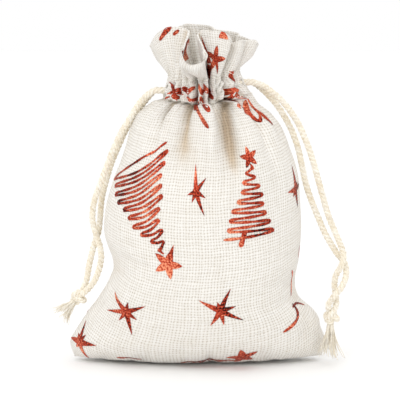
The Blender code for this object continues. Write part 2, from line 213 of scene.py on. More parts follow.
def pleats(s):
    """How far into a valley each place round the pattern is, from 0 on a ridge to the valley's depth."""
    s = s % ROUND
    spots = np.array([v[0] for v in VALLEYS])
    depths = np.array([v[1] for v in VALLEYS])
    spots = np.concatenate([spots[-1:] - ROUND, spots, spots[:1] + ROUND])
    depths = np.concatenate([depths[-1:], depths, depths[:1]])
    i = np.searchsorted(spots, s, side="right") - 1
    u = (s - spots[i]) / (spots[i + 1] - spots[i])
    depth = np.where(u < 0.5, depths[i], depths[i + 1])
    return depth * (0.5 + 0.5 * np.cos(2 * math.pi * u)) ** 1.9


def ripple(s, h, length, seed):
    """Smooth irregular waves over the cloth, from about -1 to 1, with crests about this far apart in mm."""
    draw = np.random.default_rng(seed)
    total = np.zeros(np.broadcast(s, h).shape)
    for _ in range(7):
        turns = max(1, round(ROUND / length * draw.uniform(0.6, 1.3)))
        rise = draw.uniform(-1, 1) * 2 * math.pi / length
        total += np.sin(2 * math.pi * turns * s / ROUND + rise * h + draw.uniform(0, 2 * math.pi))
    return total / 3.5


def near_seam(s, width):
    """0 on a side seam, rising to 1 this far from it."""
    return smoothstep(np.abs((s + PANEL / 2) % PANEL - PANEL / 2) / width)


def neck_lift(s):
    """How much higher the neck stands here than at its front and back, in mm."""
    across = np.cos(np.radians(closed_curve(NECK_ANGLE, s, -360)[:, 0]))
    return NECK_LIFT[0] * across**2 + NECK_LIFT[1] * across


def neck_row(s, u):
    """The gathered casing, from its lower stitching at u = 0 to the upper one at u = 1."""
    h = H_LOWER + (H_UPPER - H_LOWER) * u
    angle = np.radians(closed_curve(NECK_ANGLE, s, -360)[:, 0])
    drift = 2.0 * ripple(s, h, 26, 3) * u
    free = near_seam(s, 6)
    depth = PLEAT_DEPTH * pleats(s + drift * free) * (1 + 0.45 * ripple(s, h, 16, 4))
    grow = 1.0 * (1 - u) ** 2 + 1.3 * math.sin(math.pi * u) ** 0.8 - 0.7 + 0.5 * u**3
    factor = 1 - depth * free
    crumple = CRUMPLE * ripple(s, 2.2 * h, 9, 5) * (0.35 + 0.65 * math.sin(math.pi * u)) * free
    across = np.cos(angle)
    to_left, to_right = smoothstep(-across, 0.3, 1), smoothstep(across, 0.3, 1)
    flare = (1 - u) ** 2.4 * (NECK_FLARE[1] * to_right + NECK_FLARE[0] * to_left)
    x = NECK_CENTRE[0] + ((NECK_RADII[0] + grow) * factor + crumple + flare) * across
    y = NECK_CENTRE[1] - ((NECK_RADII[1] + grow) * factor + crumple) * np.sin(angle)
    z = Z_LOWER + (Z_UPPER - Z_LOWER) * u + (0.6 + 0.7 * u) * ripple(s, h, 22, 6) * free
    return np.stack([x, y, z + neck_lift(s)], axis=1)


def upper_grid():
    """Rows from just above the lower stitching, up the casing and the ruffle to the fold."""
    s = np.arange(ROUND, dtype=float)
    rim = closed_curve(RIM, s)
    for _ in range(6):
        rim = 0.5 * rim + 0.25 * (np.roll(rim, 1, axis=0) + np.roll(rim, -1, axis=0))
    rim[:, 2] += 0.35 * ripple(s, 0 * s, 10, 8)
    heights = np.linspace(H_LOWER, H_TOP, UPPER_ROWS)[1:]
    neck_top = neck_row(s, 1.0)
    out = (rim + neck_top) / 2 - np.array([*NECK_CENTRE, 0])
    out[:, 2] = 0
    out /= np.linalg.norm(out, axis=1, keepdims=True)
    span = np.linalg.norm(rim - neck_top, axis=1)
    slack = np.sqrt(np.maximum((H_TOP - H_UPPER) ** 2 - span**2, 0))
    bulge = (BULGE + SPOUT[2] * np.exp(-(((s - SPOUT[0]) / SPOUT[1]) ** 2))) * slack
    rows = []
    for h in heights:
        if h <= H_UPPER:
            row = neck_row(s, (h - H_LOWER) / (H_UPPER - H_LOWER))
        else:
            u = (h - H_UPPER) / (H_TOP - H_UPPER)
            row = neck_top * (1 - u**0.9) + rim * u**0.9
            arch = math.sin(math.pi * u)
            row += out * ((bulge + 0.35 * ripple(s, h, 12, 9)) * arch)[:, None]
        rows.append(row)
    return np.array(rows)


def surface_normals(grid):
    """Unit normals of a grid that closes on itself round the sack, pointing out of it."""
    along = np.roll(grid, -1, axis=1) - np.roll(grid, 1, axis=1)
    up = np.gradient(grid, axis=0)
    return unit(np.cross(along, up))


def hem_grid(outer):
    """The turned-in hem: the fold's round edge, then just inside the ruffle and well inside the casing."""
    normals = surface_normals(outer)
    centre = np.array([*NECK_CENTRE, 0])
    rows = []
    top = outer[-1] - HEM_THICK / 2 * normals[-1]
    top[:, 2] += HEM_THICK / 3
    rows.append(top)
    for i in range(len(outer) - 1, 3, -1):
        inside = outer[i] - HEM_THICK * normals[i]
        tight = outer[i].copy()
        tight[:, :2] = centre[:2] + (outer[i] - centre)[:, :2] * HEM_TIGHT
        weight = smoothstep(1 - i / (len(outer) - 1), 0.42, 0.72)
        rows.append(inside * (1 - weight) + tight * weight)
    return np.array(rows)


# Cloth simulation

PINNED_ROWS = 4             # the rows next to the neck that the gathers hold
SIM_SCALE = 10              # the solver works in decimetres
SIM_FRAMES = 34


def grid_faces(rows):
    """Quads of a closed tube of rows, whose first row is one line front and back, the bottom seam."""
    def vertex(i, j):
        j %= ROUND
        if i == 0 and j > PANEL:
            j = ROUND - j
        return i * ROUND + j
    faces = []
    for i in range(rows - 1):
        for j in range(ROUND):
            faces.append((vertex(i, j), vertex(i, j + 1), vertex(i + 1, j + 1), vertex(i + 1, j)))
    return faces


def square_floor(name, half):
    """A flat square at height 0, this far from its middle to each side."""
    corners = [(x * half, y * half, 0) for x, y in ((-1, -1), (1, -1), (1, 1), (-1, 1))]
    mesh = bpy.data.meshes.new(name)
    mesh.from_pydata(corners, [], [(0, 1, 2, 3)])
    floor = bpy.data.objects.new(name, mesh)
    bpy.context.scene.collection.objects.link(floor)
    return floor


def settle(start, flat, pinned_rows):
    """Stuffs the body: the cloth keeps its flat pattern's lengths while pressure fills it on the floor."""
    rows = len(start)
    mesh = bpy.data.meshes.new("settling")
    mesh.from_pydata((start.reshape(-1, 3) * MM * SIM_SCALE).tolist(), [], grid_faces(rows))
    body = bpy.data.objects.new("settling", mesh)
    bpy.context.scene.collection.objects.link(body)
    body.shape_key_add(name="Basis")
    key = body.shape_key_add(name="flat")
    key.data.foreach_set("co", (flat * MM * SIM_SCALE).astype(np.float32).ravel())
    group = body.vertex_groups.new(name="pinned")
    group.add(list(range((rows - pinned_rows) * ROUND, rows * ROUND)), 1.0, "REPLACE")
    floor = square_floor("settling_floor", 2)
    floor.modifiers.new("Collision", "COLLISION")
    floor.collision.thickness_outer = 0.004
    floor.collision.cloth_friction = 20
    cloth = body.modifiers.new("Cloth", "CLOTH")
    settings = cloth.settings
    settings.rest_shape_key = key
    settings.vertex_group_mass = "pinned"
    settings.quality = 6
    settings.mass = 0.15
    settings.tension_stiffness = 40
    settings.compression_stiffness = 25
    settings.shear_stiffness = 8
    settings.bending_stiffness = 0.25
    settings.tension_damping = 15
    settings.compression_damping = 15
    settings.shear_damping = 10
    settings.bending_damping = 1
    settings.air_damping = 4
    settings.use_pressure = True
    settings.uniform_pressure_force = 6
    settings.effector_weights.gravity = 0.05
    cloth.collision_settings.use_collision = True
    cloth.collision_settings.distance_min = 0.004
    cloth.collision_settings.use_self_collision = False
    scene = bpy.context.scene
    for number in range(1, SIM_FRAMES + 1):
        scene.frame_set(number)
    evaluated = body.evaluated_get(bpy.context.evaluated_depsgraph_get())
    result = np.empty(rows * ROUND * 3)
    evaluated.data.vertices.foreach_get("co", result)
    scene.frame_set(1)
    for obj in (body, floor):
        data = obj.data
        bpy.data.objects.remove(obj, do_unlink=True)
        bpy.data.meshes.remove(data)
    result = result.reshape(rows, ROUND, 3) / SIM_SCALE / MM
    result[0, PANEL + 1:] = result[0, PANEL - 1:0:-1]
    return result


def flat_pattern(rows):
    """The two panels laid one on the other, as they were cut."""
    s = np.arange(ROUND)
    x = np.where(s <= PANEL, s - PANEL / 2, 1.5 * PANEL - s)
    z = np.linspace(0, H_LOWER, rows)
    grid = np.zeros((rows, ROUND, 3))
    grid[:, :, 0] = x
    grid[:, :, 2] = z[:, None]
    return grid


def body_grid():
    """The stuffed body, rows from the bottom seam to the casing's lower stitching."""
    rows = round(H_LOWER / ROW_STEP) + 1
    start = body_start(rows)
    s = np.arange(ROUND, dtype=float)
    h = np.linspace(0, H_LOWER, rows)
    neck = neck_row(s, 0.0)
    free = near_seam(s, 6)
    lean = neck_lift(s)
    for i in range(rows):
        near = math.exp(-(H_LOWER - h[i]) / 8)
        far = math.exp(-(H_LOWER - h[i]) / 22)
        depth = pleats(s) * near + np.maximum(pleats(s) - 0.8, 0) * (far - near)
        factor = 1 - PLEAT_DEPTH * depth * free
        start[i, :, :2] = NECK_CENTRE + (start[i, :, :2] - NECK_CENTRE) * factor[:, None]
        start[i, :, 2] += 0.5 + lean * near
    start[-1] = neck
    body = settle(start, flat_pattern(rows), PINNED_ROWS)
    body = pressed_folds(to_outline(smoothed(body, 3)))
    lift = body[:, :, 2].min() - FLOOR_CLEAR
    body[:, :, 2] -= lift * (1 - body[:, :, 2] / Z_LOWER)
    return body


LEVELS = np.arange(2.0, 104.0, 2.0)     # the heights at which the body's sides are found, in mm
LEVEL_REACH = 1.6           # how far from a level the cloth counts as on it, in mm
HELD_FROM = 0.93            # the share of the rows above which the gathers hold the cloth


def to_outline(body):
    """Moves the settled body's sides onto the outline, level by level, and leaves the gathers as they are."""
    x, z = body[:, :, 0], body[:, :, 2]
    near = [x[np.abs(z - level) < LEVEL_REACH] for level in LEVELS]
    edges = np.array([[found.min(), found.max()] for found in near])
    for _ in range(2):
        edges[1:-1] = (edges[:-2] + 2 * edges[1:-1] + edges[2:]) / 4
    wanted = smooth_table(OUTLINE, z)
    middle = NECK_CENTRE[0]
    shares = [(wanted[..., k] - middle) / (np.interp(z, LEVELS, edges[:, k]) - middle) for k in (0, 1)]
    right = smoothstep(x, middle - 6, middle + 6)
    share = shares[0] * (1 - right) + shares[1] * right
    free = 1 - smoothstep(np.arange(len(body)) / (len(body) - 1), HELD_FROM, 1.0)[:, None]
    moved = body.copy()
    moved[:, :, 0] = middle + (x - middle) * (1 + (share - 1) * free)
    return moved


def smoothed(grid, times):
    """Rounds off ripples that are finer than the real cloth's, except at the bottom seam and at the neck."""
    grid = grid.copy()
    for _ in range(times):
        round_mean = (np.roll(grid, 1, axis=1) + np.roll(grid, -1, axis=1)) / 2
        up_mean = (grid[:-2] + grid[2:]) / 2
        inner = 0.5 * grid[1:-1] + 0.25 * round_mean[1:-1] + 0.25 * up_mean
        keep = smoothstep(np.arange(1, len(grid) - 1) / (len(grid) - 1), 0.86, 0.97)[:, None, None]
        grid[1:-1] = grid[1:-1] * keep + inner * (1 - keep)
    return grid


# Folds in the front below the neck: how deep each is, its half width at its top and its bottom, and x, z down
# its line. A depth below 0 is a ridge.
FRONT_FOLDS = [
    (10.0, 2.1, 3.8, [(9.8, 102), (10.4, 95), (11.6, 87), (12.8, 79), (14.5, 66)]),
    (5.0, 3.0, 8.0, [(-1.5, 101), (-2.8, 94), (-2.5, 85), (-1.5, 75), (0.0, 60)]),
    (-2.2, 2.6, 5.0, [(3.0, 101), (4.5, 92), (7.0, 80), (9.0, 68), (10.0, 52)]),
    (-1.2, 3.0, 6.0, [(17.5, 100), (19.0, 90), (20.5, 78), (22.0, 64)]),
    (1.5, 1.2, 2.4, [(-8.5, 100), (-10.0, 94), (-12.5, 88)]),
    (2.8, 5.0, 8.0, [(-9.0, 100), (-10.0, 90), (-9.0, 80), (-7.0, 68)]),
    (1.6, 1.4, 3.0, [(17.0, 99), (21.0, 92), (25.0, 84)]),
    (-0.9, 3.0, 8.0, [(20.0, 92), (23.5, 80), (25.0, 66)]),
    (-0.8, 5.0, 9.0, [(-12.0, 92), (-17.0, 80), (-19.0, 66)]),
]
# Folds in the back, the same way.
BACK_FOLDS = [
    (3.6, 1.6, 4.0, [(7.0, 100), (7.5, 93), (8.0, 86), (8.5, 78)]),
    (2.6, 2.2, 6.0, [(-4.5, 100), (-6.0, 93), (-7.0, 84), (-6.5, 74)]),
    (-1.4, 2.4, 5.0, [(1.5, 100), (1.0, 92), (0.5, 80), (0.0, 68)]),
    (1.6, 1.3, 3.0, [(14.5, 99), (18.5, 93), (22.5, 86)]),
]
# The lower right corner is turned back along a crease: x, z down its line.
CREASE = [(41.5, 50), (39.8, 40), (38.2, 31), (37.0, 22), (36.2, 12), (36.0, 4)]
CREASE_DEPTH = 2.8


def pressed_folds(body):
    """Presses the long soft folds and the corner's crease into the settled body."""
    x, y, z = (body[:, :, axis] for axis in range(3))
    for facing, folds in ((-1, FRONT_FOLDS), (1, BACK_FOLDS)):
        side = smoothstep(facing * y, 1.0, 6.0)
        for depth, top_width, low_width, line in folds:
            line = np.array(line, float)[::-1]
            middle = np.interp(z, line[:, 1], line[:, 0])
            along = np.clip((z - line[0, 1]) / (line[-1, 1] - line[0, 1]), 0, 1)
            width = low_width + (top_width - low_width) * along
            share = smoothstep(along, 0.0, 0.6) * (1 - smoothstep(z, 98.0, 101.5))
            y = y - facing * side * depth * share * np.exp(-(((x - middle) / width) ** 2))
    line = np.array(CREASE, float)[::-1]
    beyond = smoothstep(x - np.interp(z, line[:, 1], line[:, 0]), 0, 6)
    span = smoothstep(z, 2, 14) * (1 - smoothstep(z, 28, 50))
    y = y + CREASE_DEPTH * beyond * span * smoothstep(-y, 0, 11)
    return np.stack([x, y, z], axis=2)


def refined(grid):
    """The grid at half the spacing, on smooth curves through its points, and closed round the sack."""
    before, after, beyond = (np.roll(grid, shift, axis=1) for shift in (1, -1, -2))
    wide = np.empty((len(grid), 2 * ROUND, 3))
    wide[:, ::2] = grid
    wide[:, 1::2] = (9 * (grid + after) - before - beyond) / 16
    tall = np.empty((2 * len(grid) - 1, 2 * ROUND, 3))
    tall[::2] = wide
    padded = np.concatenate([2 * wide[:1] - wide[1:2], wide, 2 * wide[-1:] - wide[-2:-1]])
    tall[1::2] = (9 * (padded[1:-2] + padded[2:-1]) - padded[:-3] - padded[3:]) / 16
    return tall


# The whole cloth, places on it, and the painted shade in its folds

FOLD_SHADE_STEP = 4               # rows or columns between the places that a fold is measured against, for the painted shade
FULL_SHADE_FOLD_DEPTH = 2.6             # how far below its surroundings a fold lies where it counts as 1 and takes the full painted shade, in mm


def cloth_grids():
    """The outer cloth up to the fold, then the hem, at twice the pattern grid's detail, and each row's h."""
    body = body_grid()
    outer = np.concatenate([body, upper_grid()])
    hem = hem_grid(outer[len(body) - 1:])
    grid = refined(np.concatenate([outer, hem]))
    rows = np.concatenate([
        np.linspace(0, H_LOWER, len(body)),
        np.linspace(H_LOWER, H_TOP, UPPER_ROWS)[1:],
        H_TOP + 1 + np.arange(len(hem)) * (H_TOP - H_LOWER) / (UPPER_ROWS - 1),
    ])
    heights = np.interp(np.arange(len(grid)) / 2, np.arange(len(rows)), rows)
    return grid, heights


def painted_shade_in_folds(grid, normals, heights):
    """How deep in a fold each place of the outer cloth lies, from 0 on open cloth to 1: the mask of the
    painted shade in the folds.
    """
    outer = grid[heights <= H_TOP]
    mean = outer
    for _ in range(12):
        mean = 0.5 * mean + 0.25 * (np.roll(mean, FOLD_SHADE_STEP, axis=1) + np.roll(mean, -FOLD_SHADE_STEP, axis=1))
        padded = np.concatenate([mean[:1]] * FOLD_SHADE_STEP + [mean] + [mean[-1:]] * FOLD_SHADE_STEP)
        mean = 0.5 * mean + 0.25 * (padded[2 * FOLD_SHADE_STEP:] + padded[:-2 * FOLD_SHADE_STEP])
    below = ((mean - outer) * normals[:len(outer)]).sum(axis=2)
    shares = np.zeros(grid.shape[:2])
    shares[:len(outer)] = smoothstep(below, 0.1, FULL_SHADE_FOLD_DEPTH)
    return shares


CLOTH, ROW_H = cloth_grids()
NORMALS = surface_normals(CLOTH)
# How strongly each place of the cloth takes the painted shade in its folds.
PAINTED_FOLD_SHADE = painted_shade_in_folds(CLOTH, NORMALS, ROW_H)


def on_cloth(s, h, off=0.0):
    """Points on the cloth at these pattern places, this far outside it. All are in mm."""
    s = np.asarray(s, float) * 2
    row = np.interp(h, ROW_H, np.arange(len(ROW_H)))
    i = np.clip(np.floor(row).astype(int), 0, len(ROW_H) - 2)
    j = np.floor(s).astype(int)
    u, v = (s - j)[..., None], (row - i)[..., None]
    left, right = j % (2 * ROUND), (j + 1) % (2 * ROUND)
    found = []
    for values in (CLOTH, NORMALS):
        low = values[i, left] * (1 - u) + values[i, right] * u
        high = values[i + 1, left] * (1 - u) + values[i + 1, right] * u
        found.append(low * (1 - v) + high * v)
    return found[0] + off * found[1]


def make_piece(name, points, faces, mat, uvs=None):
    """A smooth mesh from points in mm. The uvs, one for each point, go in a map named Pattern."""
    mesh = bpy.data.meshes.new(name)
    mesh.from_pydata((np.asarray(points) * MM).tolist(), [], faces)
    if uvs is not None:
        layer = mesh.uv_layers.new(name="Pattern")
        corners = np.empty(len(mesh.loops), int)
        mesh.loops.foreach_get("vertex_index", corners)
        layer.data.foreach_set("uv", np.asarray(uvs, np.float32)[corners].ravel())
    mesh.materials.append(mat)
    mesh.shade_smooth()
    piece = bpy.data.objects.new(name, mesh)
    bpy.context.scene.collection.objects.link(piece)
    return piece


def grid_quads(rows, columns):
    """Quads of a grid of points that is open on all sides."""
    at = np.arange(rows * columns).reshape(rows, columns)
    corners = (at[:-1, :-1], at[:-1, 1:], at[1:, 1:], at[1:, :-1])
    return np.stack(corners, axis=2).reshape(-1, 4).tolist()


def tube_quads(count, sides):
    """Quads between rings of points, and a face over each end."""
    at = np.arange(count * sides).reshape(count, sides)
    beyond = np.roll(at, -1, axis=1)
    quads = np.stack([at[:-1], beyond[:-1], beyond[1:], at[1:]], axis=2).reshape(-1, 4).tolist()
    return [*quads, at[0, ::-1].tolist(), at[-1].tolist()]


def joined(parts):
    """Several parts as one, each with its points, faces and pattern places."""
    points, faces, places = [], [], []
    count = 0
    for part_points, part_faces, part_places in parts:
        faces += [[v + count for v in face] for face in part_faces]
        points.append(part_points)
        places.append(part_places)
        count += len(part_points)
    return np.concatenate(points), faces, np.concatenate(places)


def reordered(made, look):
    """make_piece's arguments after the name, from points, quads and places."""
    points, quads, places = made
    return points, quads, look, places


# Materials

class Shader:
    """A Principled material and short ways to add nodes to it."""

    def __init__(self, name, roughness, **constants):
        self.material = bpy.data.materials.new(name)
        self.material.use_nodes = True
        self.tree = self.material.node_tree
        self.main = self.tree.nodes["Principled BSDF"]
        self.main.inputs["Roughness"].default_value = roughness
        for socket, value in constants.items():
            self.main.inputs[socket.replace("_", " ")].default_value = value

    def node(self, kind, **inputs):
        made = self.tree.nodes.new(kind)
        for name, value in inputs.items():
            self.feed(made.inputs[name.replace("_", " ")], value)
        return made

    def feed(self, socket, value):
        if isinstance(value, bpy.types.NodeSocket):
            self.tree.links.new(value, socket)
        else:
            socket.default_value = value

    def math(self, operation, *values):
        made = self.tree.nodes.new("ShaderNodeMath")
        made.operation = operation
        for socket, value in zip(made.inputs, values):
            self.feed(socket, value)
        return made.outputs[0]

    def pattern(self):
        """The two pattern coordinates, each as a length in decimetres of cloth or cord."""
        uv = self.tree.nodes.new("ShaderNodeUVMap")
        uv.uv_map = "Pattern"
        split = self.node("ShaderNodeSeparateXYZ", Vector=uv.outputs["UV"])
        return uv.outputs["UV"], split.outputs["X"], split.outputs["Y"]

    def noise(self, vector, scale, detail=2.0, stretch=None):
        if stretch:
            mapping = self.node("ShaderNodeMapping", Vector=vector, Scale=stretch)
            vector = mapping.outputs[0]
        made = self.node("ShaderNodeTexNoise", Vector=vector, Scale=scale, Detail=detail)
        return made.outputs["Fac"]

    def ramp(self, value, *stops):
        made = self.node("ShaderNodeValToRGB", Fac=value)
        stops = list(stops)
        for element, (place, colour) in zip(made.color_ramp.elements, (stops[0], stops[-1])):
            element.position = place
            element.color = (*colour, 1)
        for place, colour in stops[1:-1]:
            element = made.color_ramp.elements.new(place)
            element.color = (*colour, 1)
        return made.outputs["Color"]

    def mix(self, factor, first, second, blend="MIX"):
        made = self.tree.nodes.new("ShaderNodeMix")
        made.data_type = "RGBA"
        made.blend_type = blend
        self.feed(made.inputs["Factor"], factor)
        self.feed(made.inputs["A"], first)
        self.feed(made.inputs["B"], second)
        return made.outputs["Result"]

    def bump(self, height, distance, strength=1.0):
        made = self.node("ShaderNodeBump", Height=height, Distance=distance, Strength=strength)
        self.tree.links.new(made.outputs[0], self.main.inputs["Normal"])

    def colour(self, socket):
        self.tree.links.new(socket, self.main.inputs["Base Color"])


def woven_height(shader):
    """A plain weave's height, 0 in the holes to 1 on top, with threads that wander and swell."""
    uv, across, up = shader.pattern()
    pitch = WEAVE / PANEL
    wander = shader.noise(uv, 26.0, 3.0)
    swell = shader.noise(uv, 90.0, 2.0)
    places = []
    for value, stretch in ((across, (1.0, 0.15, 1.0)), (up, (0.15, 1.0, 1.0))):
        drift = shader.noise(uv, 60.0, 2.0, stretch)
        shift = shader.math("MULTIPLY", shader.math("SUBTRACT", drift, 0.5), 0.9)
        shift = shader.math("ADD", shift, shader.math("MULTIPLY", wander, 0.7))
        places.append(shader.math("ADD", shader.math("DIVIDE", value, pitch), shift))
    rounds = []
    for place in places:
        wave = shader.math("SINE", shader.math("MULTIPLY", place, math.pi))
        rounds.append(shader.math("ABSOLUTE", wave))
    lanes = [shader.math("FLOOR", place) for place in places]
    heights = []
    for along, lane, thread, offset in ((1, 0, 0, 0.0), (0, 1, 1, 1.0)):
        turn = shader.math("ADD", places[along], shader.math("ADD", lanes[lane], offset))
        over = shader.math("SINE", shader.math("MULTIPLY", turn, math.pi))
        over = shader.math("MULTIPLY_ADD", over, 0.35, 0.65)
        body = shader.math("POWER", rounds[thread], 0.6)
        heights.append(shader.math("MULTIPLY", over, body))
    weave = shader.math("MAXIMUM", *heights)
    return uv, weave, swell


def cloth_material():
    """Coarse unbleached plain weave, warm white, with flecks and slubs, painted shade in the holes between
    its threads, and a painted warm brown shade deep in its folds.
    """
    shader = Shader("cotton_cloth", 0.9, Sheen_Weight=0.25, Sheen_Roughness=0.5, Specular_IOR_Level=0.2)
    uv, weave, swell = woven_height(shader)
    # Painted shade: the holes between the threads are coloured darker brown where the weave dips.
    holes = shader.ramp(
        weave, (0.26, (0.58, 0.52, 0.44)), (0.60, (0.865, 0.835, 0.785)), (1.0, (0.935, 0.912, 0.875)),
    )
    slub = shader.noise(uv, 60.0, 3.0, (0.12, 1.0, 1.0))
    warp = shader.noise(uv, 60.0, 3.0, (1.0, 0.12, 1.0))
    uneven = shader.math("MULTIPLY", slub, warp)
    tone = shader.ramp(uneven, (0.12, (0.945, 0.935, 0.915)), (0.32, (1.0, 1.0, 1.0)))
    fleck = shader.ramp(shader.noise(uv, 240.0, 1.0), (0.70, (1.0, 1.0, 1.0)), (0.78, (0.80, 0.72, 0.60)))
    # Painted shade: a warm brown laid over the cloth's colour where it lies deep in a fold, darkest in the
    # deepest folds.
    fold = shader.tree.nodes.new("ShaderNodeAttribute")
    fold.attribute_name = "PaintedFoldShade"
    shade = shader.ramp(fold.outputs["Fac"], (0.0, (1.0, 1.0, 1.0)), (1.0, (0.80, 0.70, 0.58)))
    woven = shader.mix(1.0, shader.mix(1.0, holes, tone, "MULTIPLY"), fleck, "MULTIPLY")
    shader.colour(shader.mix(1.0, woven, shade, "MULTIPLY"))
    fibres = shader.noise(uv, 900.0, 2.0)
    height = shader.math("ADD", weave, shader.math("MULTIPLY", swell, 0.5))
    height = shader.math("ADD", height, shader.math("MULTIPLY", fibres, 0.25))
    shader.bump(height, 0.00022)
    return shader.material


def foil_material():
    """Red metal foil pressed on the weave, with a painted shade where threads dip and painted dark
    reflections and bright glints in spots from noise.
    """
    shader = Shader("red_foil", 0.34, Metallic=0.85)
    uv, weave, _ = woven_height(shader)
    # Painted reflection: noise spots and the weave's height make this value, which picks painted dark
    # reflections, the foil's red, and painted bright glints below.
    grain = shader.noise(uv, 150.0, 3.0)
    patch = shader.noise(uv, 9.0, 2.0)
    light = shader.math("ADD", shader.math("MULTIPLY", grain, 0.8), shader.math("MULTIPLY", patch, 0.7))
    light = shader.math("ADD", light, shader.math("MULTIPLY", weave, 0.12))
    foil_red_with_painted_glints = shader.ramp(
        light, (0.66, (0.02, 0.003, 0.002)), (0.75, (0.32, 0.028, 0.012)), (0.88, (0.60, 0.085, 0.04)),
        (1.02, (0.95, 0.36, 0.20)),
    )
    shader.colour(foil_red_with_painted_glints)
    height = shader.math("ADD", weave, shader.math("MULTIPLY", grain, 1.2))
    shader.bump(height, 0.00018)
    return shader.material


def cord_material(name, deep, pale):
    """Cotton yarn: long fine fibres that run round each ply, darker and paler in streaks from noise, with
    warm blotches.
    """
    shader = Shader(name, 0.88, Sheen_Weight=0.3, Sheen_Roughness=0.45, Specular_IOR_Level=0.2)
    uv, _, _ = shader.pattern()
    fibres = shader.noise(uv, 40.0, 4.0, (6.0, 1.0, 1.0))
    strands = shader.noise(uv, 9.0, 3.0, (1.0, 6.0, 1.0))
    blotch = shader.noise(uv, 14.0, 2.0)
    grain = shader.math("ADD", shader.math("MULTIPLY", fibres, 0.5), shader.math("MULTIPLY", strands, 0.5))
    tone = shader.ramp(grain, (0.30, deep), (0.58, pale))
    warm = shader.ramp(blotch, (0.35, (1.0, 0.97, 0.90)), (0.62, (1.0, 1.0, 1.0)))
    shader.colour(shader.mix(1.0, tone, warm, "MULTIPLY"))
    shader.bump(grain, 0.00016)
    return shader.material


CLOTH_LOOK = cloth_material()
FOIL_LOOK = foil_material()
CORD_LOOK = cord_material("cotton_cord", (0.72, 0.63, 0.49), (0.96, 0.925, 0.845))
THREAD_LOOK = cord_material("sewing_thread", (0.78, 0.75, 0.69), (0.95, 0.935, 0.90))


# The sack's two sides

SLIT_TOP = 3.4              # half the height of a slit in mm
SLIT_WIDE = 3.0             # how far each edge of a slit stands from the seam
SLIT_REACH = 5.0            # how far along the panel the slit's edge is drawn back
SLIT_BELOW = 6              # how far below the lower stitching a slit may start
SEAM_GROOVE = 0.5           # how deep the side seams are drawn in
GROOVE_WIDE = 0.8


def add_sack_sides():
    """Front and back, each one sheet with its hem, parted at the seams and open where the cords come out."""
    for name, first, facing in (("front", 0, -1), ("back", PANEL, 1)):
        columns = np.arange(2 * first, 2 * (first + PANEL) + 1)
        grid = CLOTH[:, columns % (2 * ROUND)].copy()
        normals = NORMALS[:, columns % (2 * ROUND)]
        s = columns / 2
        edge = np.minimum(s - first, first + PANEL - s)
        groove = SEAM_GROOVE * np.exp(-((edge / GROOVE_WIDE) ** 2)) * (ROW_H < H_UPPER)[:, None]
        grid -= groove[:, :, None] * normals
        nearest_left = (np.round(s / PANEL) % 2) == 0
        cord_z = np.where(nearest_left, CORD_Z["left"], CORD_Z["right"])
        lens = np.clip(1 - ((grid[:, :, 2] - cord_z) / SLIT_TOP) ** 2, 0, 1) ** 0.7
        outside = (ROW_H < H_TOP)[:, None] & (ROW_H > H_LOWER - SLIT_BELOW)[:, None]
        wanted = SLIT_WIDE * lens * (1 - smoothstep(edge / SLIT_REACH))
        short = np.maximum(wanted - facing * grid[:, :, 1], 0) * outside * (edge < SLIT_REACH)
        grid[:, :, 1] += facing * short
        uvs = np.stack(np.broadcast_arrays(s / PANEL, ROW_H[:, None] / PANEL), axis=2)
        piece = make_piece(
            f"sack_{name}", grid.reshape(-1, 3), grid_quads(*grid.shape[:2]), CLOTH_LOOK, uvs.reshape(-1, 2)
        )
        # The painted fold shade, read by the cloth material to darken the folds warm brown.
        folds = piece.data.attributes.new("PaintedFoldShade", "FLOAT", "POINT")
        folds.data.foreach_set("value", PAINTED_FOLD_SHADE[:, columns % (2 * ROUND)].astype(np.float32).ravel())
        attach(piece, "sack")
        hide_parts(f"{name}_panel", f"{name}_hem")


# Foil prints. A motif is a list of pieces of foil, each with points and quads in pattern coordinates.

FOIL_OFF = 0.14             # how far the foil stands off the cloth, in mm
FOIL_STEP = 0.5


def along_curve(points, step=FOIL_STEP):
    """Points at an even step on a smooth curve through the given ones."""
    points = np.array(points, float)
    ends = np.concatenate([2 * points[:1] - points[1:2], points, 2 * points[-1:] - points[-2:-1]])
    fine = []
    for before, start, end, after in zip(ends, ends[1:], ends[2:], ends[3:]):
        u = np.linspace(0, 1, 24, endpoint=False)[:, None]
        fine.append(0.5 * (
            2 * start + (end - before) * u + (2 * before - 5 * start + 4 * end - after) * u**2
            + (3 * start - before - 3 * end + after) * u**3
        ))
    fine = np.concatenate([*fine, points[-1:]])
    run = np.concatenate([[0], np.cumsum(np.linalg.norm(np.diff(fine, axis=0), axis=1))])
    spots = np.linspace(0, run[-1], max(3, round(run[-1] / step) + 1))
    return np.stack([np.interp(spots, run, fine[:, axis]) for axis in range(fine.shape[1])], axis=1)


def stroke(points, width, taper=(0.35, 0.35), ends=1.2):
    """A brush stroke: a ribbon with rounded, thinner ends, as (points, quads)."""
    line = along_curve(points)
    along = unit(np.gradient(line, axis=0))
    side = np.stack([-along[:, 1], along[:, 0]], axis=1)
    run = np.arange(len(line)) * FOIL_STEP
    start = np.clip(run / ends, 0, 1)
    finish = np.clip((run[-1] - run) / ends, 0, 1)
    shape = (taper[0] + (1 - taper[0]) * start**0.5) * (taper[1] + (1 - taper[1]) * finish**0.5)
    half = width / 2 * shape * (1 + 0.14 * np.sin(run * 0.9 + points[0][0]))
    ribbon = np.stack([line + side * (half * k)[:, None] for k in (-1, 0, 1)], axis=1)
    return ribbon.reshape(-1, 2), grid_quads(len(line), 3)


def ray(centre, angle, length, width, curve=0.0):
    """A spike from a sparkle's centre, widest near it and drawn out to a point."""
    steps = np.linspace(-0.06, 1, max(6, round(length / FOIL_STEP)))
    way = np.array([math.cos(math.radians(angle)), math.sin(math.radians(angle))])
    side = np.array([-way[1], way[0]])
    line = np.array(centre) + np.outer(steps * length, way) + np.outer(curve * length * steps**2, side)
    half = width / 2 * np.clip(1 - steps, 0, 1) ** 0.8
    ribbon = np.stack([line + np.outer(half * k, side) for k in (-1, 0, 1)], axis=1)
    return ribbon.reshape(-1, 2), grid_quads(len(line), 3)


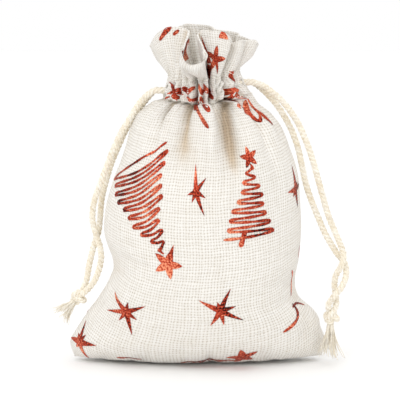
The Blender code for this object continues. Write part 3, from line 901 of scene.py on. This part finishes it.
def star(centre, radius, turn=0.0, points=5, waist=0.42):
    """A filled star, in rings from its centre, so that it can follow the folds."""
    rings, spokes = 7, points * 8
    angles = np.linspace(0, 2 * math.pi, spokes, endpoint=False)
    phase = np.abs((angles * points / (2 * math.pi)) % 1 - 0.5) * 2
    tip = waist + (1 - waist) * phase**1.4
    turned = angles + math.radians(90 + turn)
    ways = np.stack([np.cos(turned), np.sin(turned)], axis=1)
    found = [np.array(centre) + ways * (radius * tip * k / rings)[:, None] for k in range(rings + 1)]
    quads = []
    for i in range(rings):
        for j in range(spokes):
            k = (j + 1) % spokes
            quads.append((i * spokes + j, i * spokes + k, (i + 1) * spokes + k, (i + 1) * spokes + j))
    return np.concatenate(found), quads


def sparkle(centre, rays, width=2.3):
    """A sparkle of rays, each an angle in degrees and a length in mm."""
    parts = [ray(centre, angle, length, width) for angle, length in rays]
    return [*parts, star(centre, width * 0.7, points=6, waist=0.8)]


def loop(start, end, half, width):
    """A narrow open loop drawn from its start, round its end and back."""
    start, end = np.array(start, float), np.array(end, float)
    way = unit(end - start)
    aside = np.array([-way[1], way[0]]) * half
    back = end - way * 2.5 * half
    out, home = (start + back + aside) / 2, (start + back - aside) / 2
    return stroke([start, out, back + aside, end, back - aside, home], width)


def widened(part, middle, share):
    """A motif drawn wider round a middle s, because the gathers draw the cloth together there."""
    points, quads = part
    points = points.copy()
    points[:, 0] = middle + (points[:, 0] - middle) * share
    return points, quads


def zigzag(top, angle, turns, step, spread):
    """The turning points of a scribbled tree that widens from its tip, where angle 0 stands it upright."""
    way = np.array([math.sin(math.radians(angle)), -math.cos(math.radians(angle))])
    side = np.array([math.cos(math.radians(angle)), math.sin(math.radians(angle))])
    points = [np.array(top, float)]
    for i in range(turns):
        half = 1.2 + spread * (i + 0.9 * math.sin(2.3 * i))
        points.append(points[0] + way * step * (i + 1) + side * half * (-1) ** i)
    return points


TURN_RADIUS = 0.5           # of a scribble's round turns, in mm
TURN_DEPTH = 1.0            # how far before its end a turn starts, in mm
BOW_RUN = 30                # the length of run that a bow is given for, in mm


def scribble(turns, width, bow=(0.0, 0.0)):
    """One quick stroke from turning point to turning point, rounded at each.

    Bow is how far the middle of a run as long as BOW_RUN is drawn aside.
    """
    turns = [np.array(turn, float) for turn in turns]
    bow = np.array(bow) / BOW_RUN
    points = [turns[0]]
    for before, here, after in zip(turns, turns[1:], turns[2:]):
        come, leave = unit(before - here), unit(after - here)
        inwards = unit(come + leave)
        aside = unit(come - leave) * TURN_RADIUS
        points.append((before + here) / 2 + bow * np.linalg.norm(before - here))
        points += [here + inwards * TURN_DEPTH + aside, here, here + inwards * TURN_DEPTH - aside]
    return stroke([*points, turns[-1]], width)


def add_foil(name, motifs):
    """All of one side's foil as one piece, pressed on the cloth."""
    parts = [(on_cloth(flat[:, 0], flat[:, 1], FOIL_OFF), faces, flat / PANEL) for flat, faces in motifs]
    piece = make_piece(name, *reordered(joined(parts), FOIL_LOOK))
    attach(piece, "sack")
    return piece


def front_prints():
    """The front's motifs in pattern mm: s from the left seam, h from the bottom seam."""
    fan = np.array([86.5, 116.0])
    prints = [
        # a wide scribbled tree that stands on its tip, lower left, with its star
        scribble(zigzag((36, 56.5), 212, 20, 1.75, 0.8), 0.95, (1.2, -1.6)),
        star((37, 53), 5.4, -20),
        ray((37, 53), 70, 7.5, 2.8),
        # an upright scribbled tree on the right, with its star and trunk
        scribble(zigzag((68.5, 86.5), -4, 16, 1.6, 0.56), 0.95),
        star((68.5, 88.8), 4.1, 10),
        stroke([(65, 64), (64.2, 61.5), (63, 58.5)], 2.0),
        # a fan of loops below the neck, on the right
        star((86.5, 121.8), 2.7, 0, 7, 0.85),
        stroke([(87, 120), fan], 1.7),
        stroke([fan, (80, 112.5), (73.5, 107)], 2.0, (0.6, 0.9)),
        stroke([fan, (80, 109), (75.5, 103.2)], 3.0, (0.3, 0.9)),
        loop(fan, (82.4, 99.6), 1.2, 1.1),
        loop(fan, (88.4, 97.4), 2.4, 1.8),
        # a star crumpled into the neck, on the left, and strokes in the middle
        widened(star((19.5, 117.3), 5.4, 12, 6, 0.3), 19.5, 1.9),
        stroke([(14, 113), (9, 111), (4, 111.5)], 0.7),
        stroke([(28, 119.5), (32, 117), (37, 118.5)], 2.4),
        stroke([(30, 114.5), (36, 113), (42, 115.5)], 1.5),
        stroke([(42, 120), (46, 117), (50, 119)], 2.6),
        stroke([(48, 121), (54, 117.5), (62, 113)], 2.8),
        stroke([(44, 114.5), (48, 111), (52.5, 107.5)], 2.8),
        stroke([(42, 112.5), (45, 107), (50.5, 101)], 1.7, (0.9, 0.2)),
        stroke([(41, 111), (43, 107.5)], 1.6),
        stroke([(57, 128), (58, 121), (60, 115)], 2.2),
        # the star on the ruffle, and the strokes at its edge
        star((66.5, 130.5), 6.6, -8, 5, 0.34),
        ray((62, 129), 98, 12, 2.0),
        ray((62, 127), 252, 9, 2.2),
        stroke([(9.5, 139), (12.5, 141.5), (15, 144)], 2.2),
        stroke([(15.8, 139.8), (17.8, 142)], 1.7),
        star((70, 142), 2.4, 10, 3, 0.6),
        stroke([(29, 145), (26, 150), (24, 157)], 5.0),
        stroke([(32, 145), (36, 150), (41, 155)], 3.4),
        # a print that runs off under the front edge
        star((63.5, 15), 4.8, 12),
        *[stroke([(45 + 2.8 * k, 10), (48 + 2.8 * k, 12.8), (51 + 2.8 * k, 11.6)], 1.0) for k in range(5)],
        stroke([(25, 11), (29, 12.2), (33, 11.5)], 0.8),
        # arcs at the right side
        stroke([(88, 43), (90.3, 40), (90.3, 36), (88, 32.5)], 0.9),
        stroke([(86.5, 29.5), (85.5, 26.5), (82, 24), (75.5, 22.6)], 1.2, (0.6, 0.1)),
        stroke([(84.5, 28.5), (89.5, 28), (93.5, 24.5)], 1.0),
        stroke([(95, 50), (94, 45.5)], 0.9),
        star((0.5, 20), 1.6, 0, 4, 0.5),
    ]
    prints += sparkle((25, 32), [(203, 9.5), (35, 8), (300, 9.5), (155, 11), (250, 5), (340, 5), (95, 4)])
    prints += sparkle(
        (57, 36.8), [(150, 8.5), (66, 8.5), (325, 8.5), (235, 6.5), (275, 5.5), (10, 5.5), (105, 3.5)],
    )
    prints += sparkle((11, 11), [(118, 8), (196, 9), (22, 8.5), (288, 8), (235, 4), (70, 4), (155, 4)], 2.6)
    prints += sparkle((47.5, 78.5), [(98, 9.5), (52, 6), (292, 9), (330, 4.5), (250, 4), (200, 3.5)], 2.0)
    prints += sparkle((91, 72.5), [(88, 9), (178, 6), (280, 7.5), (5, 6), (40, 3.5), (225, 3.5)], 2.6)
    return prints


def back_prints():
    """The back's motifs, in the same measures."""
    prints = [
        scribble(zigzag((130, 90), -6, 13, 2.1, 0.75), 0.95),
        star((130.4, 94.4), 4.1, -6),
        stroke([(127.5, 63), (127.2, 60), (127.8, 56.5)], 2.1),
        scribble(zigzag((172, 41), 168, 12, 2.6, 0.95), 0.95),
        star((171, 36.5), 4.8, 12),
        star((118, 22), 4.5, 18),
        star((150, 131), 5.6, 10, 5, 0.36),
        stroke([(170, 121), (174, 114), (178, 108), (176.5, 107), (172.5, 113)], 1.2),
        stroke([(168, 121), (167, 114), (165, 107)], 1.4),
        stroke([(122, 130), (125, 135), (129, 138)], 1.7),
        stroke([(185, 132), (188, 137), (189, 141)], 1.7),
    ]
    prints += sparkle((150, 78), [(94, 8), (178, 6), (275, 8.5), (8, 6), (40, 3.6), (222, 3.8)])
    prints += sparkle((145, 33), [(150, 7), (75, 8), (330, 8.5), (215, 5), (265, 5), (20, 4.5)])
    prints += sparkle((112, 52), [(90, 7), (182, 4.5), (272, 6.5), (2, 4.5), (225, 3)])
    prints += sparkle((187, 86), [(100, 7), (185, 6), (280, 7), (15, 5), (330, 3.6)])
    prints += sparkle((190, 24), [(88, 6), (175, 5), (262, 6), (355, 5), (300, 3)])
    return prints


# Cords. Routes, in mm, from the casing's slit to the knot.

LEFT_FRONT = [
    (-17.0, -1.7, 102.3), (-19.9, -1.8, 99.9), (-22.3, -1.9, 96.8), (-24.9, -2.0, 92.6), (-28.3, -2.1, 87.0),
    (-31.5, -2.1, 80.2), (-33.9, -2.1, 74.0), (-36.5, -2.0, 67.0), (-38.6, -1.9, 60.8), (-39.2, -1.8, 54.4),
    (-38.0, -1.7, 49.0), (-36.6, -1.7, 44.4), (-36.1, -1.7, 40.0), (-36.9, -1.6, 35.4), (-38.7, -1.5, 31.0),
    (-40.7, -1.5, 28.3), (-42.0, -1.5, 27.0),
]
LEFT_BACK = [
    (-17.0, 1.7, 101.7), (-19.8, 2.0, 98.4), (-23.0, 2.6, 93.8), (-26.6, 3.4, 88.0), (-29.8, 4.2, 81.0),
    (-32.4, 4.8, 74.8), (-34.4, 5.2, 68.4), (-36.1, 5.0, 61.6), (-36.7, 4.0, 55.0), (-37.2, 2.4, 49.4),
    (-38.8, 1.7, 44.6), (-40.2, 1.6, 39.4), (-41.2, 1.6, 34.6), (-41.9, 1.6, 31.0), (-43.0, 1.6, 27.9),
]
RIGHT_FRONT = [
    (24.5, -1.7, 105.0), (28.4, -1.8, 102.3), (32.2, -1.9, 98.9), (35.5, -2.0, 94.8), (38.3, -2.1, 90.2),
    (40.7, -2.2, 84.8), (43.1, -2.3, 78.4), (45.3, -2.4, 71.0), (47.3, -2.6, 64.0), (49.3, -3.0, 57.0),
    (51.8, -4.0, 50.6), (53.7, -5.0, 46.0), (55.1, -6.4, 42.0), (54.4, -7.3, 38.0), (52.4, -6.6, 34.0),
    (52.0, -5.4, 30.0), (52.5, -5.5, 26.0), (52.5, -6.8, 22.6),
]
RIGHT_BACK = [
    (24.2, 1.4, 103.7), (27.4, 1.2, 100.6), (30.6, 1.0, 96.8), (33.6, 0.8, 92.2), (36.3, 0.6, 86.8),
    (38.4, 0.4, 80.6), (39.8, 0.2, 74.0), (41.4, -0.2, 67.0), (43.8, -0.9, 60.2), (46.4, -2.2, 54.0),
    (48.2, -3.0, 49.8), (50.2, -3.6, 46.2), (52.8, -3.5, 42.0), (55.8, -3.9, 38.0), (56.2, -5.9, 34.0),
    (54.5, -8.3, 30.0), (51.3, -8.9, 26.0), (49.5, -8.2, 22.6),
]
STRAND_Y = 1.6
# For each side: where its strands start in the casing, its slit, their routes, the stretch that bends at the
# joint, its knot, and its tassel's way, length and splay.
LEFT = {
    "side": "left", "hidden_x": -4.2, "exit_x": -14.0, "routes": (LEFT_FRONT, LEFT_BACK),
    "bend": ((-12.5, 103.0), (-24.0, 97.0)), "knot": (-44.9, 0.0, 24.2), "way": (-0.72, 0.0, -0.70),
    "tassel": 7.5, "spread": 0.50,
}
RIGHT = {
    "side": "right", "hidden_x": 9.7, "exit_x": 19.5, "routes": (RIGHT_FRONT, RIGHT_BACK),
    "bend": ((18.0, 106.0), (31.0, 100.0)), "knot": (50.8, -7.6, 18.4), "way": (-0.10, 0.0, -1.0),
    "tassel": 14.0, "spread": 0.24,
}
PLIES = 3
PLY_PITCH = 5.0             # one full turn of the plies
CORD_STEP = 0.4
PLY_SIDES = 10
KNOT_CORD = 2.1             # the cord is pulled tighter in its knot
KNOT_SIZES = (2.35, 1.75)   # of its two overhand turns
BUNDLES = 6                 # of yarns in a tassel
BUNDLE_YARNS = 13


def carried_frame(line):
    """Two directions across a line that don't spin as it bends."""
    along = unit(np.gradient(line, axis=0))
    first = np.cross(along[0], [0.0, 1.0, 0.0])
    if np.linalg.norm(first) < 0.1:
        first = np.cross(along[0], [1.0, 0.0, 0.0])
    across = [unit(first)]
    for way in along[1:]:
        across.append(unit(across[-1] - way * np.dot(across[-1], way)))
    across = np.array(across)
    return across, np.cross(along, across)


def tube_round(line, out, radii, sides):
    """Rings round a line, starting on the side away from out, with quads between them."""
    along = unit(np.gradient(line, axis=0))
    out = unit(out - along * np.sum(out * along, axis=1, keepdims=True))
    side = np.cross(along, out)
    angles = math.pi + np.linspace(0, 2 * math.pi, sides, endpoint=False)
    rings = (
        line[:, None] + np.asarray(radii)[:, None, None]
        * (np.cos(angles)[None, :, None] * out[:, None] + np.sin(angles)[None, :, None] * side[:, None])
    )
    return rings.reshape(-1, 3), tube_quads(len(line), sides)


def plied_cord(line, diameter, phase=0.0):
    """A cord of three twisted plies along a line of even steps, as points, quads and pattern places."""
    across, up = carried_frame(line)
    run = np.concatenate([[0], np.cumsum(np.linalg.norm(np.diff(line, axis=0), axis=1))])
    ply = diameter / (1 + 2 / math.sqrt(3))
    parts = []
    for k in range(PLIES):
        turn = -2 * math.pi * (run / PLY_PITCH + k / PLIES) + phase + 0.25 * np.sin(run * 0.31 + phase)
        out = np.cos(turn)[:, None] * across + np.sin(turn)[:, None] * up
        middle = line + out * ply / math.sqrt(3)
        radii = ply / 2 * (1.06 + 0.06 * np.sin(run * 1.1 + 2.1 * k + phase) + 0.04 * np.sin(run * 2.7 + k))
        ring, faces = tube_round(middle, out, radii, PLY_SIDES)
        around = np.arange(PLY_SIDES) / PLY_SIDES * 0.035
        place = np.stack(np.broadcast_arrays(
            run[:, None] / PANEL, around[None] + 0.05 * k + 0.006 * run[:, None]
        ), axis=2)
        parts.append((ring, faces, place.reshape(-1, 2)))
    return joined(parts)


def yarns(lines, radius, sides=5):
    """Thin yarns, each along its own line and thinner to its end, as points, quads and pattern places."""
    parts = []
    for k, line in enumerate(lines):
        across, _ = carried_frame(line)
        taper = 1 - 0.45 * np.linspace(0, 1, len(line))
        ring, faces = tube_round(line, across, radius * taper, sides)
        run = np.linspace(0, 0.1, len(line))
        around = np.arange(sides) / sides * 0.02 + 0.013 * k
        place = np.stack(np.broadcast_arrays(run[:, None], around[None]), axis=2)
        parts.append((ring, faces, place.reshape(-1, 2)))
    return joined(parts)


def knot_line(centre, way, size):
    """An overhand knot pulled tight, tipped so that its crossings show in front."""
    t = np.linspace(0, 2 * math.pi, 200)
    turn = np.stack([
        np.sin(t) + 2 * np.sin(2 * t), np.cos(t) - 2 * np.cos(2 * t), -1.5 * np.sin(3 * t),
    ], axis=1)
    axis = unit(np.array(way, float) * 0.8 + np.array([0.0, -0.75, 0.0]))
    side = unit(np.cross(axis, [0.0, 0.0, 1.0]))
    lift = np.cross(axis, side)
    return np.array(centre) + size / 3 * (turn[:, :1] * side + turn[:, 1:2] * lift + turn[:, 2:] * axis)


def tassel_lines(top, way, length, spread, draw):
    """The frayed ends: bundles that part below the knot, each of yarns that wave and splay."""
    way = unit(np.array(way, float))
    side = unit(np.cross(way, [0.0, 1.0, 0.0]))
    front = np.cross(side, way)
    lines = []
    u = np.linspace(0, 1, 12)
    for bundle in range(BUNDLES):
        around = 2 * math.pi * bundle / BUNDLES + draw.uniform(-0.3, 0.3)
        lean = spread * draw.uniform(0.35, 1.0) * (math.cos(around) * side + 0.7 * math.sin(around) * front)
        foot = 0.75 * (math.cos(around) * side + math.sin(around) * front)
        reach = length * draw.uniform(0.80, 1.0)
        for _ in range(BUNDLE_YARNS):
            splay = draw.normal(0, 0.09, 2) + spread * draw.normal(0, 0.14, 2)
            wave = draw.uniform(0.15, 0.5) * np.sin(u * draw.uniform(3, 9) + draw.uniform(0, 6.3)) * u
            start = np.array(top) + foot + draw.normal(0, 0.22, 3)
            own = reach * draw.uniform(0.72, 1.04)
            out = np.outer(u**1.4 * own, lean + splay[0] * side + splay[1] * front)
            line = (
                start + np.outer(u * own, way) + out
                + np.outer(wave, side) + np.outer(wave[::-1] * u, front)
            )
            line[:, 2] = np.maximum(line[:, 2], 0.35 + 0.2 * draw.uniform())
            lines.append(line)
    return lines


def add_cords(at):
    """One side's cord: two strands from inside the casing, the knot that ties them, and the frayed ends."""
    side = at["side"]
    sign = -1 if side == "left" else 1
    z = CORD_Z[side]
    knot_at = np.array(at["knot"])
    way = unit(np.array(at["way"], float))
    first = knot_line(knot_at, way, KNOT_SIZES[0])
    second = knot_line(knot_at + 0.5 * way, np.cross(way, [0.0, 1.0, 0.0]) + 0.6 * way, KNOT_SIZES[1])
    turns = joined([plied_cord(first, KNOT_CORD), plied_cord(second, KNOT_CORD, 2.0)])
    knot = make_piece(f"{side}_knot_tied", *reordered(turns, CORD_LOOK))
    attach(knot, f"{side}_loop")
    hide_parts(f"{side}_knot")
    draw = np.random.default_rng(11 if side == "left" else 12)
    lines = tassel_lines(knot_at + way * 2.2, way, at["tassel"] + 1.2, at["spread"], draw)
    tassel = make_piece(f"{side}_frayed_ends", *reordered(yarns(lines, 0.17), CORD_LOOK))
    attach(tassel, f"{side}_loop")
    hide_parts(f"{side}_tassel")
    for part, y, route in (("front", -STRAND_Y, at["routes"][0]), ("back", STRAND_Y, at["routes"][1])):
        exit_x = at["exit_x"]
        inside = [(x, y, z) for x in np.linspace(at["hidden_x"], exit_x, 4)]
        straight = [(exit_x + sign * 1.5, y, z)]
        into = knot_at - 0.6 * way + np.array([0.0, 0.5 * y, 0.0])
        line = along_curve([*inside, *straight, *route, tuple(into)], CORD_STEP)
        cord = make_piece(f"{side}_cord_{part}", *reordered(plied_cord(line, CORD_MM, 1.3 * y), CORD_LOOK))
        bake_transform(cord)
        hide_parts(f"{side}_tail_{part}", f"{side}_strand_{part}")


RUN_RADII = (6.6, 5.0)      # of a hidden stretch's way round the neck
RUN_GAP = 0.6               # between a hidden stretch's end and its strand's


def add_run(side):
    """A cord's hidden stretch in the casing, round the far side of the neck between the cloth and its hem."""
    sign = -1 if side == "left" else 1
    z = CORD_Z[side]
    centre = NECK_CENTRE[0]
    end_x = LEFT["hidden_x"] + RUN_GAP if side == "left" else RIGHT["hidden_x"] - RUN_GAP
    ring = [
        (centre + sign * RUN_RADII[0] * math.cos(a), -RUN_RADII[1] * math.sin(a), z)
        for a in np.radians(np.arange(50, 311, 20))
    ]
    line = along_curve([(end_x, -STRAND_Y, z), *ring, (end_x, STRAND_Y, z)], CORD_STEP)
    run = make_piece(f"{side}_cord_in_casing", *reordered(plied_cord(line, CORD_MM), CORD_LOOK))
    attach(run, "sack")
    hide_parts(f"{side}_drawstring_run")


# Sewing

STITCH = 3.1                # from one stitch to the next, in mm of cloth
STITCH_LENGTH = 2.3


def add_stitching():
    """The casing's two rows of stitches: short threads that dip into the cloth at both ends."""
    for name, h in (("lower", H_LOWER), ("upper", H_UPPER)):
        lines = []
        for k in range(round(ROUND / STITCH)):
            places = k * STITCH + np.linspace(0, STITCH_LENGTH, 8)
            off = 0.32 * np.sin(np.linspace(0, math.pi, 8)) ** 0.6 - 0.08
            lines.append(on_cloth(places, np.full(8, float(h)), off[:, None]))
        stitches = make_piece(f"casing_stitches_{name}", *reordered(yarns(lines, 0.24), THREAD_LOOK))
        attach(stitches, "sack")
        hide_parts(f"casing_stitch_{name}")


SEAM_DEPTH = 5.0            # how far a seam allowance reaches into the sack
SEAM_HALF = 0.55            # half its two layers' thickness
SEAM_STEP = 1.5


def add_seam(name, edge, inward):
    """A seam allowance inside the sack: two layers of cloth, and thread that zigzags over their edge."""
    edge = np.array(edge)
    inner = edge + inward * SEAM_DEPTH
    across = unit(np.cross(np.gradient(edge, axis=0), inward))
    aside = across * SEAM_HALF
    strip = np.stack([edge + aside, inner + aside, inner - aside, edge - aside], axis=1)
    count = len(edge)
    along = np.repeat(np.linspace(0, 1, count), 4)
    places = np.stack([along, np.tile([0, 0.05, 0.061, 0.111], count)], axis=1)
    binding = np.empty((2 * count, 3))
    binding[::2] = inner + inward * 0.3 + across * (SEAM_HALF + 0.1)
    binding[1::2] = inner - inward * 2.5 - across * (SEAM_HALF + 0.1)
    parts = [(strip.reshape(-1, 3), tube_quads(count, 4), places), yarns([binding], 0.25)]
    piece = make_piece(f"{name}_overlocked", *reordered(joined(parts), THREAD_LOOK))
    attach(piece, "sack")
    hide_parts(name)


def add_seams():
    """The allowances of the two side seams and the bottom seam."""
    heights = np.arange(7.0, 100.0, SEAM_STEP)
    for name, s, sign in (("left", 0.0, 1), ("right", float(PANEL), -1)):
        inward = np.tile([float(sign), 0.0, 0.0], (len(heights), 1))
        edge = on_cloth(np.full(len(heights), s), heights, -1.6)
        add_seam(f"{name}_side_seam", edge, inward)
    places = np.arange(12.0, 88.0, SEAM_STEP)
    inward = np.tile([0.0, 0.0, 1.0], (len(places), 1))
    edge = on_cloth(places, np.zeros(len(places)), 0.0) + [0.0, 0.0, 0.9]
    add_seam("bottom_seam", edge, inward)


# Studio

FLOOR_HALF = 4.0            # in metres
AMBIENT = 0.82              # strength of the light from all round
KEY_POWER = 1.3             # of the softbox on the left, in watts
TOP_STRENGTH = 0.95         # of the light from above
CAMERA_TARGET = (1.3, 0, 61.6)
CAMERA_AWAY = 600
CAMERA_RISE = 7             # degrees above the horizon
LENS = 143
SENSOR = 36


def add_floor():
    """A plain pale floor."""
    floor = square_floor("floor", FLOOR_HALF)
    shader = Shader("pale_floor", 0.6, Specular_IOR_Level=0.3)
    place = shader.node("ShaderNodeTexCoord").outputs["Object"]
    shader.colour(shader.ramp(shader.noise(place, 5.0), (0.3, (0.93, 0.93, 0.93)), (0.7, (0.95, 0.95, 0.95))))
    floor.data.materials.append(shader.material)


def add_softbox(name, place, target, size, power):
    """A round area light turned to its target."""
    light = bpy.data.lights.new(name, "AREA")
    light.shape = "DISK"
    light.size = size
    light.energy = power
    box = bpy.data.objects.new(name, light)
    box.location = place
    box.rotation_euler = (Vector(target) - Vector(place)).to_track_quat("-Z", "Y").to_euler()
    bpy.context.scene.collection.objects.link(box)


def add_light():
    """Soft light all round, more from above and from the left, in front of a white background."""
    world = bpy.data.worlds.new("studio")
    bpy.context.scene.world = world
    world.use_nodes = True
    tree = world.node_tree
    tree.nodes.clear()
    fill = tree.nodes.new("ShaderNodeBackground")
    fill.inputs["Color"].default_value = (1, 0.995, 0.985, 1)
    fill.inputs["Strength"].default_value = AMBIENT
    white = tree.nodes.new("ShaderNodeBackground")
    seen = tree.nodes.new("ShaderNodeLightPath")
    mix = tree.nodes.new("ShaderNodeMixShader")
    output = tree.nodes.new("ShaderNodeOutputWorld")
    white.inputs["Color"].default_value = (1, 1, 1, 1)
    tree.links.new(seen.outputs["Is Camera Ray"], mix.inputs["Fac"])
    tree.links.new(fill.outputs[0], mix.inputs[1])
    tree.links.new(white.outputs[0], mix.inputs[2])
    tree.links.new(mix.outputs[0], output.inputs["Surface"])
    add_softbox("key", (-0.22, -0.74, 0.6), (0, 0, 0.06), 0.35, KEY_POWER)
    sky = bpy.data.lights.new("top", "SUN")
    sky.angle = math.radians(100)
    sky.energy = TOP_STRENGTH
    top = bpy.data.objects.new("top", sky)
    bpy.context.scene.collection.objects.link(top)


def add_camera():
    """The camera in front, a little above the sack and a long way off."""
    data = bpy.data.cameras.new("camera")
    data.lens = LENS
    data.sensor_width = SENSOR
    data.clip_start = 0.05
    camera = bpy.data.objects.new("camera", data)
    rise = math.radians(CAMERA_RISE)
    back = Vector((0, -math.cos(rise), math.sin(rise)))
    camera.location = (Vector(CAMERA_TARGET) + back * CAMERA_AWAY) * MM
    camera.rotation_euler = (-back).to_track_quat("-Z", "Y").to_euler()
    bpy.context.scene.collection.objects.link(camera)
    bpy.context.scene.camera = camera
    bpy.context.scene.view_settings.view_transform = "Standard"


add_camera()
add_light()
add_floor()
add_cords(LEFT)
add_cords(RIGHT)
add_run("left")
add_run("right")
add_sack_sides()
add_foil("front_foil_prints", front_prints())
add_foil("back_foil_prints", back_prints())
add_stitching()
add_seams()
